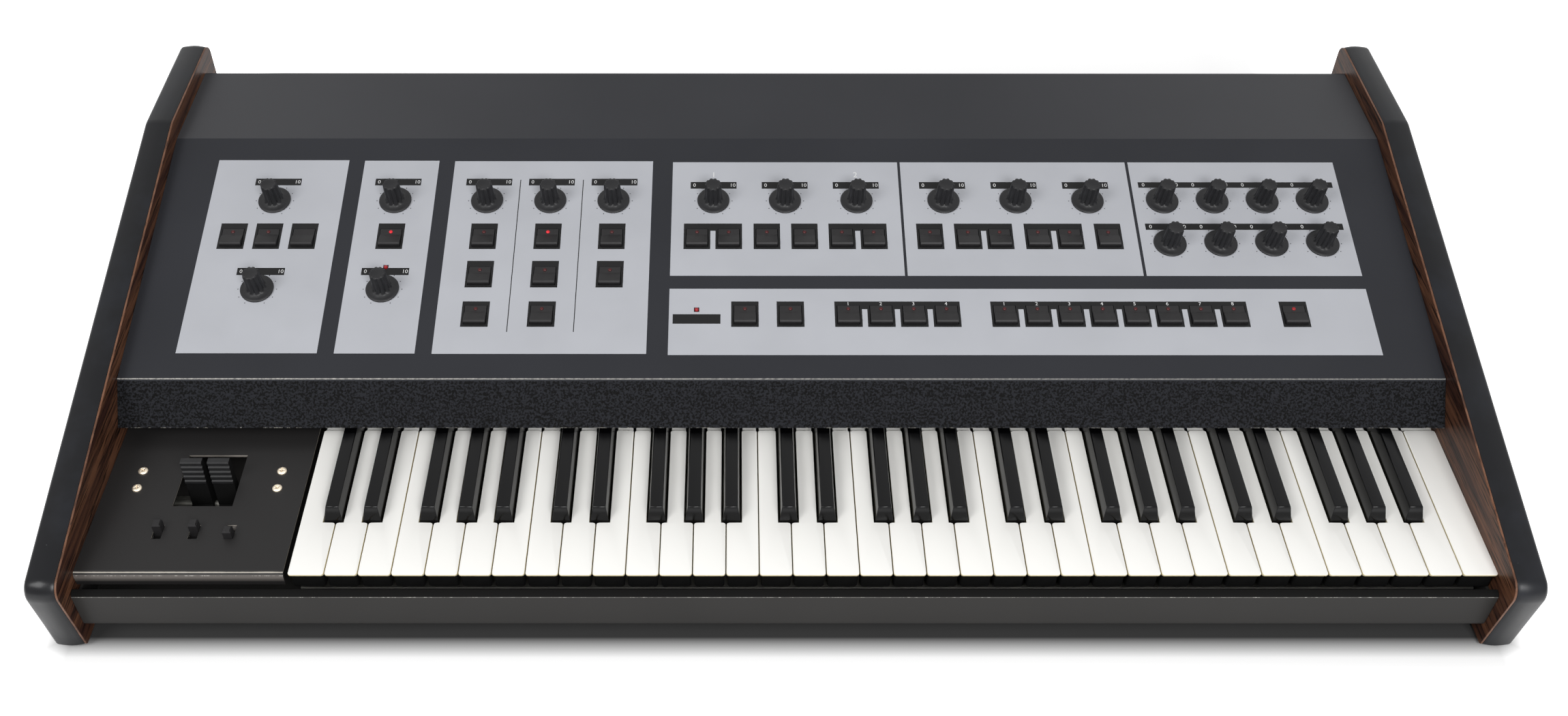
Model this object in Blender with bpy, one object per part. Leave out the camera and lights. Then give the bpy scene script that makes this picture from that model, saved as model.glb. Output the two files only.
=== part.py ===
"""Analog synthesizer with five octaves of keys, a sloping control panel and wooden cheeks.

Metres, +Z up. X = 0 is midway between the cheeks, Y = 0 is the middle of the cheeks' depth,
-Y is the player's side and Z = 0 is the surface that the rubber feet stand on.
"""
import math

import bmesh
import bpy
from mathutils import Vector

# Overall size
CHEEK_THICK = 0.0235
CHEEK_BACK = 0.508       # from the front of the white keys, as the next two are
NOSE_REACH = 0.026
TOE_REACH = 0.0175       # the cheeks' front leans back down to here
CHEEK_TOP = 0.1735
CHEEK_LIFT = 0.001       # underside of the cheeks above the floor
CHEEK_EDGE = 0.080       # height of a cheek's sloping edge above the key fronts

# Cheek board and the black moulding round it
NOSE_RADIUS = 0.014
BROW_RADIUS = 0.024      # where the sloping edge meets the flat top
CORNER_RADIUS = 0.011
TOE_RADIUS = 0.003
LEAST_RADIUS = 0.0005    # of a corner inside the moulding
VENEER = 0.0015          # inner face of the board, which laps over the moulding
MOULDING_DEPTH = 0.008   # how far the moulding reaches in from the cheek's outline
MOULDING_CROWN = 0.0014  # its middle, above the edge of the veneer
MOULDING_SHOULDER = 0.0008
MOULDING_ROUND = 0.004
BOARD_RECESS = 0.0006    # outer face of the board, below the moulding

# Sheet metal
SHEET = 0.002
BEND = 0.0015            # inner radius of a fold
SEAT_GAP = 0.0003        # between pieces that rest on each other
SIDE_GAP = 0.0004        # between a moving piece and the edge of its hole

# Keyboard
OCTAVES = 5
OCTAVE_SPAN = 0.165
WHITES = 7
KEY_GAP = 0.0010
KEY_TOP = 0.060
KEY_HEAD = 0.0495        # front of a white key up to the black keys
KEY_LENGTH = 0.212
KEY_TAIL = 0.007         # behind the pivot bar
KEY_UNDERSIDE = 0.044
CAP_THICK = 0.0028       # the ivory-white top
LIP = 0.004              # the cap's overhang in front of the key's body
FLANK = 0.0008           # the cap's overhang beside the key's body
KEY_CORNER = 0.0014
BLACK_BASE = 0.0132
BLACK_CROWN = 0.0082
BLACK_RISE = 0.0115
BLACK_SLOPE = 0.0045     # run of the sloping front
BLACK_EDGE = 0.0005      # chamfer round its crown
BLACK_GAP = 0.0009       # round a black key's foot
BLACK_BACK = 0.155       # where its crown ends, behind the fallboard
PAIR_SHIFT = 0.0029      # the pair and the outer two of three stand off their gaps
TRIO_SHIFT = 0.0035
BLACK_OFFSETS = {1: -PAIR_SHIFT, 2: PAIR_SHIFT, 4: -TRIO_SHIFT, 5: 0.0, 6: TRIO_SHIFT}
KEY_DIP = 0.010          # travel of a white key's front edge
STOP_CLEAR = 0.0025      # left for the felt on the stop rail
MOVING_OCTAVE = 2        # counted from 0 at the left
WHITE_NAMES = ("c", "d", "e", "f", "g", "a", "b")
LAST_KEY_GAP = 0.0010    # last key to the right cheek

# Key frame: a tray with a rail under the key fronts and one under their pivots
PIVOT_BAR = 0.003
PIVOT_PLAY = 0.0004
PIVOT_HEIGHT = 0.048
PIVOT_WEB = 0.003
SEAT_WIDTH = 0.009       # of the ledge that carries the keys that have no joint
STOP_RAIL = (0.012, 0.034)
REAR_RAIL_WIDTH = 0.024

# Front rail and base
BASE_LIFT = 0.0165       # underside of the front rail above the floor
RAIL_FACE = 0.010        # face of the rail in front of the key fronts
FRONT_RAIL_TOP = 0.052
RAIL_LIP = 0.005
RAIL_FOOT = 0.018
PAN_FLANGE = 0.024
FOOT_RADIUS = 0.013
FOOT_TAPER = 0.0015
FOOT_INSET = (0.060, 0.045)

# Control panel
STRIP_FOOT = (0.130, 0.0745)
PANEL_FOLD = (0.155, 0.1022)
PANEL_SLOPE = math.radians(13.6)
PANEL_LENGTH = 0.2356
DECK_DEPTH = 0.0993
HEM = 0.012              # the short flange at the end of a folded sheet

# Left-hand plate
PLATE_WIDTH = 0.148
PLATE_GAP = 0.0054       # plate to first key
PLATE_FRONT = 0.0025
PLATE_LIP = 0.012
CUTOUT_CENTRE = (0.0765, 0.0900)
CUTOUT_SIZE = (0.044, 0.0505)
SWITCH_LINE = 0.0405     # slide switches behind the key fronts
SWITCH_PITCH = 0.026
SWITCH_SLOT = (0.007, 0.013)
SWITCH_TRAVEL = 0.006
SWITCH_HEIGHT = 0.0075
SWITCH_CHAMFER = 0.0015
SWITCH_BODY = (0.012, 0.022, 0.009)

# Levers
LEVER_WIDTH = 0.016
LEVER_GAP = 0.004
LEVER_THICK = 0.009
LEVER_TOP = 0.0795
LEVER_PIVOT = 0.033
LEVER_HUB = 0.0065
LEVER_SHAFT = 0.003
LEVER_PLAY = 0.0004
RIB_COUNT = 5
RIB_PITCH = 0.0043
RIB_DEPTH = 0.0011
RIB_LENGTH = 0.0024
RIB_SLOPE = 0.0004
BRACKET_SPAN = 0.088
BRACKET_EAR = 0.016
BRACKET_DEPTH = 0.030
BRACKET_FLOOR = 0.023

# Knobs; rows are distances up the slope from its front fold, and columns are thousandths
# of the panel's width from its left end
SKIRT_RADIUS = 0.013
SKIRT_EDGE = 0.0015
SKIRT_CROWN = 0.0035
GRIP_FOOT = 0.0070
GRIP_TOP = 0.0064
FLUTE_DEPTH = 0.0009
FLUTES = 10
KNOB_HEIGHT = 0.022
KNOB_LIFT = 0.0004
SHAFT_RADIUS = 0.003
SHAFT_HOLE = 0.0037
KNOB_ROW = 0.1695
TUNE_ROW = 0.0820
LOUDNESS_ROW = 0.1265
MANUAL_COLUMN = 92.22
CONTROL_COLUMN = 189.94
MODULATION_COLUMNS = (264.21, 315.36, 366.51)
OSCILLATOR_COLUMNS = (447.37, 505.30, 563.23)
FILTER_COLUMNS = (633.62, 691.94, 750.27)
ENVELOPE_COLUMN = 810.79
ENVELOPE_PITCH = 0.0406

# Push buttons
BUTTON = 0.017
BUTTON_FLAT = 0.0060     # level part round the lamp, at the back of the cap
BUTTON_BACK = 0.0006
BUTTON_RISE = 0.0040
BUTTON_BEVEL = 0.0012
BUTTON_SKIRT = 0.0012
BUTTON_ANGLE = math.radians(5.0)
BUTTON_PITCH = 0.0254
UPPER_ROW = 0.1323
MIDDLE_ROW = 0.0950
LOWER_ROW = 0.0580
HOLD_PITCH = 0.0284
LAMP_RADIUS = 0.0016
LAMP_PROUD = 0.0012

# Circuit board under the panel
BOARD = 0.0016
BOARD_DEPTH = 0.024      # its upper face below the panel's outer face
BOARD_MARGIN = 0.045     # from its ends to the cheeks
BOARD_RISE = (0.036, 0.196)
POT_RADIUS = 0.008
POT_HEIGHT = 0.008
POT_SIDES = 6
POST_RADIUS = 0.003
SWITCH_BLOCK = 0.0145

# Behind and inside
JACK_PITCH = 0.034
JACK_COUNT = 9
JACK_START = 0.300
JACK_HEIGHT = 0.086
JACK_NUT = 0.0075
JACK_BORE = 0.0033
JACK_PROUD = 0.004
INLET_INSET = 0.148      # its middle, from the right cheek
INLET_HEIGHT = 0.066
INLET_SIZE = (0.030, 0.022)
INLET_FLANGE = (0.050, 0.030)
INLET_DEPTH = 0.016
BLADE_SPREAD = 0.0073    # outer blades from the middle
BLADE_RISE = 0.0029
MAIN_BOARD_WIDTH = 0.560
MAIN_BOARD_DEPTH = 0.170
MAIN_BOARD_INSET = 0.0915  # its left edge, from the left cheek
MAIN_BOARD_ROW = 0.085
MAIN_BOARD_LIFT = 0.012
CORE_SIZE = (0.080, 0.050, 0.066)
COIL_SIZE = (0.046, 0.078, 0.042)
COIL_ROUND = 0.008
TRANSFORMER_INSET = 0.1715  # its middle, from the right cheek
TRANSFORMER_ROW = 0.110

KEY_PITCH = OCTAVE_SPAN / WHITES
WHITE_COUNT = OCTAVES * WHITES + 1
KEY_PIVOT = KEY_LENGTH - KEY_TAIL
REAR_RAIL = (KEY_PIVOT - REAR_RAIL_WIDTH / 2, KEY_PIVOT + REAR_RAIL_WIDTH / 2)
INNER_WIDTH = PLATE_WIDTH + PLATE_GAP + WHITE_COUNT * KEY_PITCH + LAST_KEY_GAP
LEFT = -INNER_WIDTH / 2
RIGHT = INNER_WIDTH / 2
FIRST_KEY = LEFT + PLATE_WIDTH + PLATE_GAP
RAIL_TOP = KEY_UNDERSIDE - KEY_DIP - STOP_CLEAR
PAN_UNDER = BASE_LIFT + SHEET + SEAT_GAP
PAN_FLOOR = PAN_UNDER + SHEET
DECK_FRONT = (
    PANEL_FOLD[0] + PANEL_LENGTH * math.cos(PANEL_SLOPE),
    PANEL_FOLD[1] + PANEL_LENGTH * math.sin(PANEL_SLOPE),
)
DECK_BACK = DECK_FRONT[0] + DECK_DEPTH
BACK_FACE = DECK_BACK - SHEET - SEAT_GAP
WINDOW = BUTTON + 2 * SIDE_GAP
LEVER_CENTRES = tuple(
    CUTOUT_CENTRE[0] + side * (LEVER_WIDTH + LEVER_GAP) / 2 for side in (-1, 1)
)


def across(part):
    """A place across the panel, from thousandths of its width."""
    return INNER_WIDTH * part / 1000


KNOBS = {
    "volume_knob": (across(MANUAL_COLUMN), KNOB_ROW),
    "tune_knob": (across(MANUAL_COLUMN), TUNE_ROW),
    "portamento_knob": (across(CONTROL_COLUMN), KNOB_ROW),
    "detune_knob": (across(CONTROL_COLUMN), TUNE_ROW),
}
KNOB_NAMES = (
    ("lfo_rate", "pitch_depth", "pulse_depth"),
    ("pitch_1", "pulse_width", "pitch_2"),
    ("cutoff", "resonance", "filter_amount"),
)
for names, columns in zip(KNOB_NAMES, (MODULATION_COLUMNS, OSCILLATOR_COLUMNS, FILTER_COLUMNS)):
    for name, column in zip(names, columns):
        KNOBS[f"{name}_knob"] = (across(column), KNOB_ROW)
for row_name, row_height in (("filter", KNOB_ROW), ("loudness", LOUDNESS_ROW)):
    for stage_number, stage in enumerate(("attack", "decay", "sustain", "release")):
        column = across(ENVELOPE_COLUMN) + stage_number * ENVELOPE_PITCH
        KNOBS[f"{row_name}_{stage}_knob"] = (column, row_height)

GROUP_COLUMN = 552.46
PROGRAM_COLUMN = 673.40
MOVING_BUTTONS = {
    "auto_button": (across(MANUAL_COLUMN) - HOLD_PITCH, UPPER_ROW),
    "hold_button": (across(MANUAL_COLUMN), UPPER_ROW),
    "reset_button": (across(MANUAL_COLUMN) + HOLD_PITCH, UPPER_ROW),
}
for number, group in enumerate("abcd"):
    column = across(GROUP_COLUMN) + number * BUTTON_PITCH
    MOVING_BUTTONS[f"group_{group}_button"] = (column, LOWER_ROW)
UPPER_COLUMNS = (
    CONTROL_COLUMN, *MODULATION_COLUMNS,
    434.51, 459.83, 490.24, 520.36, 550.26, 575.59,
    620.56, 650.87, 676.19, 706.80, 732.12, 763.04,
)
LOWER_COLUMNS = (*MODULATION_COLUMNS[:2], 472.50, 507.69, 897.24)
FIXED_BUTTONS = (
    [(across(column), UPPER_ROW) for column in UPPER_COLUMNS]
    + [(across(column), MIDDLE_ROW) for column in MODULATION_COLUMNS]
    + [(across(column), LOWER_ROW) for column in LOWER_COLUMNS]
    + [(across(PROGRAM_COLUMN) + number * BUTTON_PITCH, LOWER_ROW) for number in range(8)]
)
LAMPS = ((across(CONTROL_COLUMN), 0.1033), (across(435.11), 0.0627))


def make_material(name, red, green, blue, roughness, metallic=0.0):
    """A Principled material of one colour."""
    material = bpy.data.materials.new(name)
    material.use_nodes = True
    shader = material.node_tree.nodes["Principled BSDF"]
    shader.inputs["Base Color"].default_value = (red, green, blue, 1.0)
    shader.inputs["Roughness"].default_value = roughness
    shader.inputs["Metallic"].default_value = metallic
    material.diffuse_color = (red, green, blue, 1.0)
    return material


def corner_arc(before, corner, after, radius, steps):
    """Points of the arc that rounds one corner of an outline."""
    before, corner, after = Vector(before), Vector(corner), Vector(after)
    inward = (corner - before).normalized()
    onward = (after - corner).normalized()
    turn = math.atan2(inward.x * onward.y - inward.y * onward.x, inward.dot(onward))
    reach = radius * math.tan(abs(turn) / 2)
    side = math.copysign(1.0, turn)
    start = corner - inward * reach
    centre = start + Vector((-inward.y, inward.x)) * radius * side
    spoke = start - centre
    points = []
    for step in range(steps + 1):
        angle = turn * step / steps
        turned = Vector((
            spoke.x * math.cos(angle) - spoke.y * math.sin(angle),
            spoke.x * math.sin(angle) + spoke.y * math.cos(angle),
        ))
        points.append(tuple(centre + turned))
    return points


def rounded_outline(corners, radii, steps):
    """A closed outline whose corners are arcs."""
    count = len(corners)
    points = []
    for index, radius in enumerate(radii):
        neighbours = corners[index - 1], corners[index], corners[(index + 1) % count]
        points += corner_arc(*neighbours, radius, steps)
    return points


def offset_path(path, distance):
    """An open path moved to its left by a distance, with mitred corners."""
    path = [Vector(point) for point in path]
    runs = [(b - a).normalized() for a, b in zip(path, path[1:])]
    normals = [Vector((-run.y, run.x)) for run in runs]
    moved = [path[0] + normals[0] * distance]
    for point, first, second in zip(path[1:-1], normals, normals[1:]):
        mitre = (first + second).normalized()
        moved.append(point + mitre * distance / mitre.dot(first))
    moved.append(path[-1] + normals[-1] * distance)
    return [tuple(point) for point in moved]


def offset_outline(corners, distance):
    """A closed convex outline, anticlockwise, moved inwards by a distance."""
    looped = [corners[-1], *corners, corners[0]]
    return offset_path(looped, distance)[1:-1]


def folded_sheet(path, thickness=SHEET, bend=BEND, steps=3):
    """The section of a sheet folded along a path; the sheet lies to the path's left."""
    inner = offset_path(path, thickness)
    outline = []
    for line, forward in ((path, 1), (inner, -1)):
        run = list(line)[::forward]
        outline.append(run[0])
        for before, corner, after in zip(run, run[1:], run[2:]):
            a, b, c = Vector(before), Vector(corner), Vector(after)
            left_turn = ((b - a).x * (c - b).y - (b - a).y * (c - b).x) > 0
            radius = bend + thickness if left_turn else bend
            outline += corner_arc(before, corner, after, radius, steps)
        outline.append(run[-1])
    return outline


def circle(radius, sides, centre=(0.0, 0.0), phase=0.0):
    """Points of a circle, anticlockwise."""
    turns = [phase + math.tau * side / sides for side in range(sides)]
    return [
        (centre[0] + radius * math.cos(turn), centre[1] + radius * math.sin(turn))
        for turn in turns
    ]


def rectangle(low, high):
    """Corners of a rectangle, anticlockwise."""
    return [(low[0], low[1]), (high[0], low[1]), (high[0], high[1]), (low[0], high[1])]


def lift(outline, axis, level):
    """A flat outline placed in space, square to an axis."""
    order = {"X": lambda a, b: (level, a, b), "Y": lambda a, b: (a, level, b),
             "Z": lambda a, b: (a, b, level)}[axis]
    return [order(*point) for point in outline]


def cheek_outline(inset):
    """The cheek's outline, moved inwards, as points behind the key fronts and above the floor."""
    slope = math.tan(PANEL_SLOPE)
    corners = [
        (-TOE_REACH, CHEEK_LIFT),
        (CHEEK_BACK, CHEEK_LIFT),
        (CHEEK_BACK, CHEEK_TOP),
        ((CHEEK_TOP - CHEEK_EDGE) / slope, CHEEK_TOP),
        (-NOSE_REACH, CHEEK_EDGE - NOSE_REACH * slope),
    ]
    radii = [TOE_RADIUS, CORNER_RADIUS, CORNER_RADIUS, BROW_RADIUS, NOSE_RADIUS]
    inner = [max(radius - inset, LEAST_RADIUS) for radius in radii]
    return rounded_outline(offset_outline(corners, inset), inner, 3)


CHEEK_ENDS = [point[0] for point in cheek_outline(0.0)]
KEY_FRONT = -(min(CHEEK_ENDS) + max(CHEEK_ENDS)) / 2


class Shape:
    """A mesh that closed solids are added to, one after another."""

    def __init__(self):
        self.mesh = bmesh.new()

    def loft(self, rings, looped=False):
        """A solid through rings of equally many points, closed by flat ends or onto itself."""
        loops = [[self.mesh.verts.new(point) for point in ring] for ring in rings]
        pairs = list(zip(loops, loops[1:]))
        if looped:
            pairs.append((loops[-1], loops[0]))
        made = []
        for low, high in pairs:
            for index in range(len(low)):
                corners = (low[index - 1], low[index], high[index], high[index - 1])
                made.append(self.mesh.faces.new(corners))
        if not looped:
            made.append(self.mesh.faces.new(loops[0]))
            made.append(self.mesh.faces.new(loops[-1]))
        bmesh.ops.recalc_face_normals(self.mesh, faces=made)
        return self

    def prism(self, outline, axis, low, high):
        """An outline drawn out along an axis."""
        return self.loft([lift(outline, axis, low), lift(outline, axis, high)])

    def box(self, low, high):
        """A box between two corners."""
        return self.prism(rectangle(low[:2], high[:2]), "Z", low[2], high[2])

    def finish(self, name, material=None, parent=None, location=(0.0, 0.0, 0.0)):
        """The object made of this mesh; without a material it is a guide."""
        data = bpy.data.meshes.new(name)
        self.mesh.to_mesh(data)
        self.mesh.free()
        piece = place(name, data, parent, location)
        if material:
            data.materials.append(material)
            data.shade_smooth()
            data.set_sharp_from_angle(angle=math.radians(35.0))
        else:
            piece.hide_render = True
            piece.display_type = "WIRE"
        return piece


def place(name, data, parent=None, location=(0.0, 0.0, 0.0)):
    """An object of a mesh, or an empty where there is none, at its place."""
    piece = bpy.data.objects.new(name, data)
    bpy.context.scene.collection.objects.link(piece)
    piece.parent = parent
    piece.location = location
    return piece


def combine(piece, guide, operation):
    """Cuts a guide out of a piece, or joins it on."""
    modifier = piece.modifiers.new(f"{operation.lower()} {guide.name}", "BOOLEAN")
    modifier.operation = operation
    modifier.solver = "EXACT"
    modifier.use_self = operation == "UNION"
    modifier.object = guide


def baked_mesh(piece):
    """The mesh of a piece with its modifiers, for copies that share it."""
    bpy.context.view_layer.update()
    evaluated = piece.evaluated_get(bpy.context.evaluated_depsgraph_get())
    return bpy.data.meshes.new_from_object(evaluated)


def make_cheek(side, name, wood, black):
    """One wooden cheek and the rounded black moulding round its edge."""
    face = side * INNER_WIDTH / 2

    def ring(depth, inset):
        outline = [(KEY_FRONT + y, z) for y, z in cheek_outline(inset)]
        return lift(outline, "X", face + side * depth)

    core = MOULDING_DEPTH + SEAT_GAP
    board = Shape().loft([
        ring(0.0, MOULDING_CROWN),
        ring(VENEER, MOULDING_CROWN),
        ring(VENEER, core),
        ring(CHEEK_THICK - BOARD_RECESS, core),
    ])
    board.finish(f"{name}_cheek", wood)
    start = VENEER + SEAT_GAP
    round_centre = CHEEK_THICK - MOULDING_ROUND
    section = [(start, MOULDING_DEPTH), (start, MOULDING_CROWN), ((start + round_centre) / 2, 0.0)]
    for step in range(3):
        turn = math.pi / 2 * step / 2
        section.append((round_centre + MOULDING_ROUND * math.sin(turn),
                        MOULDING_SHOULDER + MOULDING_ROUND * (1 - math.cos(turn))))
    section.append((CHEEK_THICK, MOULDING_DEPTH))
    moulding = Shape().loft([ring(*point) for point in section], looped=True)
    moulding.finish(f"{name}_moulding", black)


def extrude_between_cheeks(name, path, material):
    """A folded sheet that runs from cheek to cheek."""
    section = [(KEY_FRONT + y, z) for y, z in folded_sheet(path)]
    shape = Shape().prism(section, "X", LEFT + SEAT_GAP, RIGHT - SEAT_GAP)
    return shape.finish(name, material)


def make_panel(face, paint):
    """The control panel: one sheet that makes the strip over the keys, the slope and the deck."""
    path = [
        STRIP_FOOT,
        PANEL_FOLD,
        DECK_FRONT,
        (DECK_BACK, DECK_FRONT[1]),
        (DECK_BACK, DECK_FRONT[1] - HEM),
    ]
    panel = extrude_between_cheeks("control_panel", path[::-1], paint)
    cutter = Shape()
    reach = 2 * SHEET
    half = WINDOW / 2
    for column, row in [*MOVING_BUTTONS.values(), *FIXED_BUTTONS]:
        cutter.box((column - half, row - half, -reach), (column + half, row + half, reach))
    for centre in KNOBS.values():
        cutter.prism(circle(SHAFT_HOLE, POT_SIDES, centre), "Z", -reach, reach)
    for centre in LAMPS:
        cutter.prism(circle(LAMP_RADIUS + SIDE_GAP, 8, centre), "Z", -reach, reach)
    combine(panel, cutter.finish("panel_cutter", parent=face), "DIFFERENCE")


def cap_section(underside):
    """Side view of a button cap from its hinge at the back, at 0, forwards."""
    return [
        (0.0, underside),
        (0.0, BUTTON_BACK),
        (-BUTTON_FLAT, BUTTON_BACK),
        (-BUTTON + BUTTON_BEVEL, BUTTON_RISE),
        (-BUTTON, BUTTON_RISE - BUTTON_BEVEL),
        (-BUTTON, underside),
    ]


def make_panel_board(face, board_paint):
    """The circuit board under the panel, with its pots, switches and the fixed buttons' caps."""
    top = -BOARD_DEPTH
    left, right = BOARD_MARGIN, INNER_WIDTH - BOARD_MARGIN
    board = Shape().box((left, BOARD_RISE[0], top - BOARD), (right, BOARD_RISE[1], top))
    board = board.finish("panel_board", board_paint, face)
    sunk = BOARD / 2
    parts = Shape()
    for centre in KNOBS.values():
        parts.prism(circle(POT_RADIUS, POT_SIDES, centre), "Z", top - sunk, top + POT_HEIGHT)
    for column, row in FIXED_BUTTONS:
        side_view = [(row + BUTTON / 2 + y, z) for y, z in cap_section(top - sunk)]
        parts.prism(side_view, "X", column - BUTTON / 2, column + BUTTON / 2)
    half = SWITCH_BLOCK / 2
    clear = BUTTON * math.sin(BUTTON_ANGLE) + BUTTON_SKIRT + SEAT_GAP
    seat = -BUTTON_SKIRT - SEAT_GAP
    hinge = BUTTON_FLAT / 3
    for column, row in MOVING_BUTTONS.values():
        back = row + BUTTON / 2
        side_view = [
            (row - half, top - sunk), (back, top - sunk), (back, seat),
            (back - hinge, seat), (back - hinge, -clear), (row - half, -clear),
        ]
        parts.prism(side_view, "X", column - half, column + half)
    for centre in LAMPS:
        parts.prism(circle(LAMP_RADIUS, 8, centre), "Z", top - sunk, LAMP_PROUD)
    inset = POST_RADIUS * 2
    rest = -SHEET - SEAT_GAP
    for column in (left + inset, (left + right) / 2, right - inset):
        for row in (BOARD_RISE[0] + inset, BOARD_RISE[1] - inset):
            post = circle(POST_RADIUS, POT_SIDES, (column, row))
            parts.prism(post, "Z", top - sunk, rest)
    combine(board, parts.finish("board_parts", parent=face), "UNION")


def make_knobs(face, plastic):
    """The knobs: a round skirt, a tall fluted grip and the shaft that turns in its pot."""
    sides = 2 * FLUTES

    def fluted(radius, level):
        star = []
        for side in range(sides):
            reach = radius - (FLUTE_DEPTH if side % 2 else 0.0)
            turn = math.tau * side / sides
            star.append((reach * math.cos(turn), reach * math.sin(turn)))
        return lift(star, "Z", level)

    body = Shape().loft([
        lift(circle(SKIRT_RADIUS, sides), "Z", KNOB_LIFT),
        lift(circle(SKIRT_RADIUS, sides), "Z", SKIRT_EDGE),
        fluted(GRIP_FOOT, SKIRT_CROWN),
        fluted(GRIP_TOP, KNOB_HEIGHT),
    ])
    first = body.finish("knob_pattern", plastic)
    pot_top = -BOARD_DEPTH + POT_HEIGHT
    shaft = Shape().prism(circle(SHAFT_RADIUS, 8), "Z", pot_top + SEAT_GAP, SKIRT_EDGE)
    guide = shaft.finish("knob_shaft")
    combine(first, guide, "UNION")
    shared = baked_mesh(first)
    shared.name = "knob"
    bpy.data.objects.remove(first)
    bpy.data.objects.remove(guide)
    for name, (column, row) in KNOBS.items():
        place(name, shared, face, (column, row, 0.0))


def make_buttons(face, plastic):
    """The separate caps, each with its origin on the hinge at its back edge."""
    cap = Shape().prism(cap_section(-BUTTON_SKIRT), "X", -BUTTON / 2, BUTTON / 2)
    pattern = cap.finish("button_pattern", plastic)
    shared = pattern.data
    bpy.data.objects.remove(pattern)
    for name, (column, row) in MOVING_BUTTONS.items():
        place(name, shared, face, (column, row + BUTTON / 2, 0.0))


def notch_edges(index):
    """How far the black keys beside a white key cut into its two sides."""
    slot = BLACK_BASE / 2 + BLACK_GAP
    left = BLACK_OFFSETS.get(index % WHITES)
    right = BLACK_OFFSETS.get(index % WHITES + 1)
    last = index == WHITE_COUNT - 1
    left_edge = slot + left if left is not None else None
    right_edge = slot - right if right is not None and not last else None
    return left_edge, right_edge


def white_ring(index, inset, front, level):
    """The plan of a white key, seen from its pivot, moved in at its sides and front."""
    left_notch, right_notch = notch_edges(index)
    left = KEY_GAP / 2 + inset
    right = KEY_PITCH - KEY_GAP / 2 - inset
    tail_left = left if left_notch is None else left_notch + inset
    tail_right = right if right_notch is None else KEY_PITCH - right_notch - inset
    nose = front - KEY_PIVOT
    head = KEY_HEAD - KEY_PIVOT - inset
    back = KEY_LENGTH - KEY_PIVOT - inset
    return lift([
        (left, nose + KEY_CORNER), (left + KEY_CORNER, nose),
        (right - KEY_CORNER, nose), (right, nose + KEY_CORNER),
        (right, head), (tail_right, head + SEAT_GAP), (tail_right, back),
        (tail_left, back), (tail_left, head + SEAT_GAP), (left, head),
    ], "Z", level)


def add_white_key(shape, index, shift=0.0):
    """A white key: its cap over a narrower body, from front edge to pivot."""
    top = KEY_TOP - PIVOT_HEIGHT
    under_cap = top - CAP_THICK
    rings = [
        white_ring(index, FLANK, LIP, KEY_UNDERSIDE - PIVOT_HEIGHT),
        white_ring(index, FLANK, LIP, under_cap),
        white_ring(index, 0.0, 0.0, under_cap),
        white_ring(index, 0.0, 0.0, top),
    ]
    return shape.loft([[(x + shift, y, z) for x, y, z in ring] for ring in rings])


def add_black_key(shape, shift=0.0):
    """A black key: a tapered, front-sloping crown over a narrow body."""
    foot = KEY_HEAD + BLACK_GAP - KEY_PIVOT
    back = KEY_LENGTH - KEY_PIVOT
    crown_back = BLACK_BACK - KEY_PIVOT
    top = KEY_TOP - PIVOT_HEIGHT + BLACK_RISE
    edge = BLACK_EDGE

    def ring(width, front, rear, level):
        half = width / 2
        return lift(rectangle((shift - half, front), (shift + half, rear)), "Z", level)

    slope_end = foot + BLACK_SLOPE
    return shape.loft([
        ring(BLACK_BASE, foot, back, KEY_UNDERSIDE - PIVOT_HEIGHT),
        ring(BLACK_BASE, foot, back, KEY_TOP - PIVOT_HEIGHT),
        ring(BLACK_CROWN + 2 * edge, slope_end - edge, crown_back, top - edge),
        ring(BLACK_CROWN, slope_end, crown_back - edge, top),
    ])


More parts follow.
